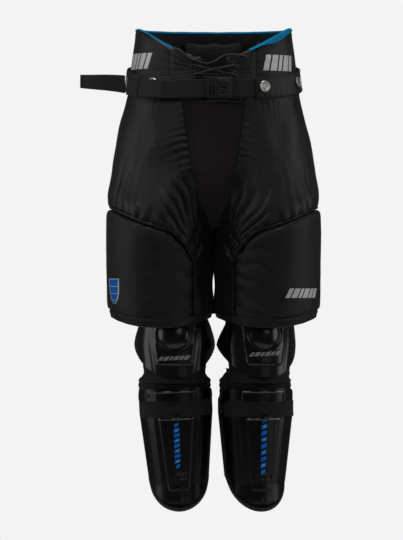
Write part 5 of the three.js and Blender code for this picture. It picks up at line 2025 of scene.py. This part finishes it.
# %% Build the inner pads
def arc_surface(start, end, low, high, inset):
    """A patch on the inside of the body between two angles, in degrees, and two heights."""

    def surface(u, v, out=0.0):
        angle = math.radians(start) + math.radians(end - start) * u
        bottom = low(angle) if callable(low) else low
        top = high(angle) if callable(high) else high
        z = bottom + (top - bottom) * v
        x, y = body_xy(angle, z, out - inset)
        return x, y, z
    return surface


def channels(piece, count, start, end):
    """Sewn channels across a pad."""
    points = points_of(piece)
    angle = np.degrees(np.arctan2(np.abs(points[:, 0]), -points[:, 1]))
    place = (angle - start) / (end - start) * count
    groove = np.exp(-((place - np.round(place)) * (end - start) / count * 1.9 / 2.2) ** 2)
    inside = (np.round(place) > 0) & (np.round(place) < count)
    return push(piece, -1.3 * MM * groove * inside + 0.5 * MM * ripple(points, (50, 50, 50), 83))


def inner_pad(name, surface, body, replaces, count, start, end, mirror=False):
    pad = pillow(name, surface, 60, 44, 8.5 * MM, 8 * MM, 0.5 * MM, mirror)
    puff_up(pad, 4.5 * MM, 1.5 * MM)
    channels(pad, count, start, end)
    unwrap_round(pad)
    finish_piece(pad, body, LINING, replaces, sharp=60)
    return pad


def kidney_low(angle):
    return seam_z(angle) + 3 * MM


def kidney_high(angle):
    return waist_top_z(angle) - 12 * MM


for side, sign in SIDES.items():
    hip = arc_surface(54, 122, -0.124, -0.028, 16.5 * MM)
    inner_pad(f"hip_foam_{side}", hip, "waist", (f"hip_pad_{side}",), 3, 54, 122, sign < 0)
    kidney = arc_surface(74, 148, kidney_low, kidney_high, 8.5 * MM)
    inner_pad(f"kidney_foam_{side}", kidney, "waist", (f"kidney_pad_{side}",), 4, 74, 148, sign < 0)
tailbone = arc_surface(157, 203, -0.110, 0.065, 11.5 * MM)
inner_pad("tailbone_foam", tailbone, "waist", ("tailbone_pad",), 2, 157, 180)
print("inner pads built")


# %% Build the caps
def round_corners(u, v, amount=0.45):
    """Pulls the corners of the unit square in, towards a disc."""
    a, b = 2 * u - 1, 2 * v - 1
    disc_a, disc_b = a * np.sqrt(1 - b * b / 2), b * np.sqrt(1 - a * a / 2)
    return (a + (disc_a - a) * amount + 1) / 2, (b + (disc_b - b) * amount + 1) / 2


def cap_surface(flat):
    def surface(u, v):
        inner_u, inner_v = round_corners(u, v)
        ribs = 0.8 * MM * np.cos(np.pi * 5 * inner_v) ** 6 * np.sin(np.pi * inner_u) ** 0.5
        return flat(inner_u, inner_v, ribs)
    return surface


def thigh_plate_surface(u, v, out=0.0):
    theta = math.radians(-22) + math.radians(172) * u
    z = -0.3075 + 0.0855 * v
    x, y = leg_xy(theta, z, out - 15.5 * MM)
    return x, y, z


hip_cap_surface = arc_surface(58, 118, -0.118, -0.034, 12 * MM)
for side, sign in SIDES.items():
    for name, flat, body, node in (
            (f"hip_cap_plate_{side}", hip_cap_surface, "waist", f"hip_cap_{side}"),
            (f"{side}_thigh_guard", thigh_plate_surface, f"{side}_thigh", f"{side}_thigh_plate")):
        cap = sheet(name, cap_surface(flat), 70, 44, mirror=sign < 0)
        thicken(cap, 1.8 * MM)
        unwrap_round(cap)
        finish_piece(cap, body, PLATE, (node,), sharp=50)
print("inside built")

# %% Solids still shown
stays = [name for name, node in frame["nodes"].items() if not node.hide_render]
print("solids still shown:", sorted(stays))

# %% [markdown]
# ## Floor, light and camera
# A long lens from the front keeps the sides parallel, as catalogue pictures do. Black cloth
# shows its folds only by reflection, so broad soft lights stand at both sides and above. The
# surround is pale for the camera and dark for reflections, which keeps the blacks deep. The
# floor is a plain pale disc, well below the guards.


# %% Studio
FLOOR_Z = cad_box[0].z - 0.12
FLOOR_RADIUS = 0.5
CAMERA_AWAY = 6.0
FRAME_TALL = 0.756
SENSOR = 36
# Name, place, size and power of each light.
LIGHTS = (
    ("key", (-1.5, -2.4, 1.7), (1.3, 1.3), 17),
    ("front_fill", (1.6, -2.8, 0.5), (1.6, 1.6), 9),
    ("left_strip", (-1.9, -0.15, 0.1), (0.9, 2.2), 10),
    ("right_strip", (1.9, -0.15, 0.1), (0.9, 2.2), 10),
    ("top", (0.0, -0.2, 2.2), (0.7, 0.5), 20),
)


def floor_surface(u, v):
    """A round floor; v runs from its rim to just short of its middle."""
    turn = 2 * np.pi * u
    reach = FLOOR_RADIUS * (1 - v * 0.999)
    return reach * np.sin(turn), -reach * np.cos(turn), FLOOR_Z + 0 * v


floor = sheet("studio_floor", floor_surface, 64, 12, ring=True)
floor_paint, _, _, floor_shader = shader("pale_floor", (0.80, 0.80, 0.80), 0.9)
floor_shader.inputs["Specular IOR Level"].default_value = 0.0
floor_shader.inputs["Emission Color"].default_value = (1, 1, 1, 1)
floor_shader.inputs["Emission Strength"].default_value = 0.12
floor.data.materials.append(floor_paint)
floor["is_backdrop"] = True


def soft_light(name, place, aim, size, power):
    lamp = bpy.data.lights.new(name, "AREA")
    lamp.shape = "RECTANGLE"
    lamp.size, lamp.size_y = size
    lamp.energy = power
    holder = bpy.data.objects.new(name, lamp)
    holder.location = place
    holder.rotation_euler = (Vector(aim) - Vector(place)).to_track_quat("-Z", "Y").to_euler()
    bpy.context.scene.collection.objects.link(holder)
    return holder


middle = (cad_box[0] + cad_box[1]) / 2
for name, place, size, power in LIGHTS:
    soft_light(name, place, middle, size, power)
print("lights:", len(LIGHTS))

# %% Surround and camera
world = bpy.data.worlds.new("studio")
world.use_nodes = True
air = world.node_tree.nodes
seen = air.new("ShaderNodeLightPath")
shade = air.new("ShaderNodeMix")
shade.data_type = "RGBA"
shade.inputs["A"].default_value = (0.05, 0.05, 0.052, 1)
shade.inputs["B"].default_value = (0.895, 0.895, 0.90, 1)
world.node_tree.links.new(seen.outputs["Is Camera Ray"], shade.inputs["Factor"])
world.node_tree.links.new(shade.outputs["Result"], air["Background"].inputs["Color"])
bpy.context.scene.world = world
bpy.context.scene.view_settings.view_transform = "Standard"

lens = bpy.data.cameras.new("camera")
camera = bpy.data.objects.new("camera", lens)
camera.location = (-0.017, -CAMERA_AWAY, -0.259)
camera.rotation_euler = (math.pi / 2, 0, 0)
lens.sensor_width = SENSOR
lens.lens = SENSOR * CAMERA_AWAY / FRAME_TALL
bpy.context.scene.collection.objects.link(camera)
bpy.context.scene.camera = camera
print("lens", round(lens.lens, 1), "mm")

# %% Spun shapes removed, then sizes
for shape in (button_shape, eyelet_shape, rivet_shape):
    bpy.data.objects.remove(shape)
shown_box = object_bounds()
low_by = [round((cad_box[0][i] - shown_box[0][i]) * 1000, 1) for i in range(3)]
high_by = [round((shown_box[1][i] - cad_box[1][i]) * 1000, 1) for i in range(3)]
print("beyond the solids, in mm: low corner", low_by, "high corner", high_by)
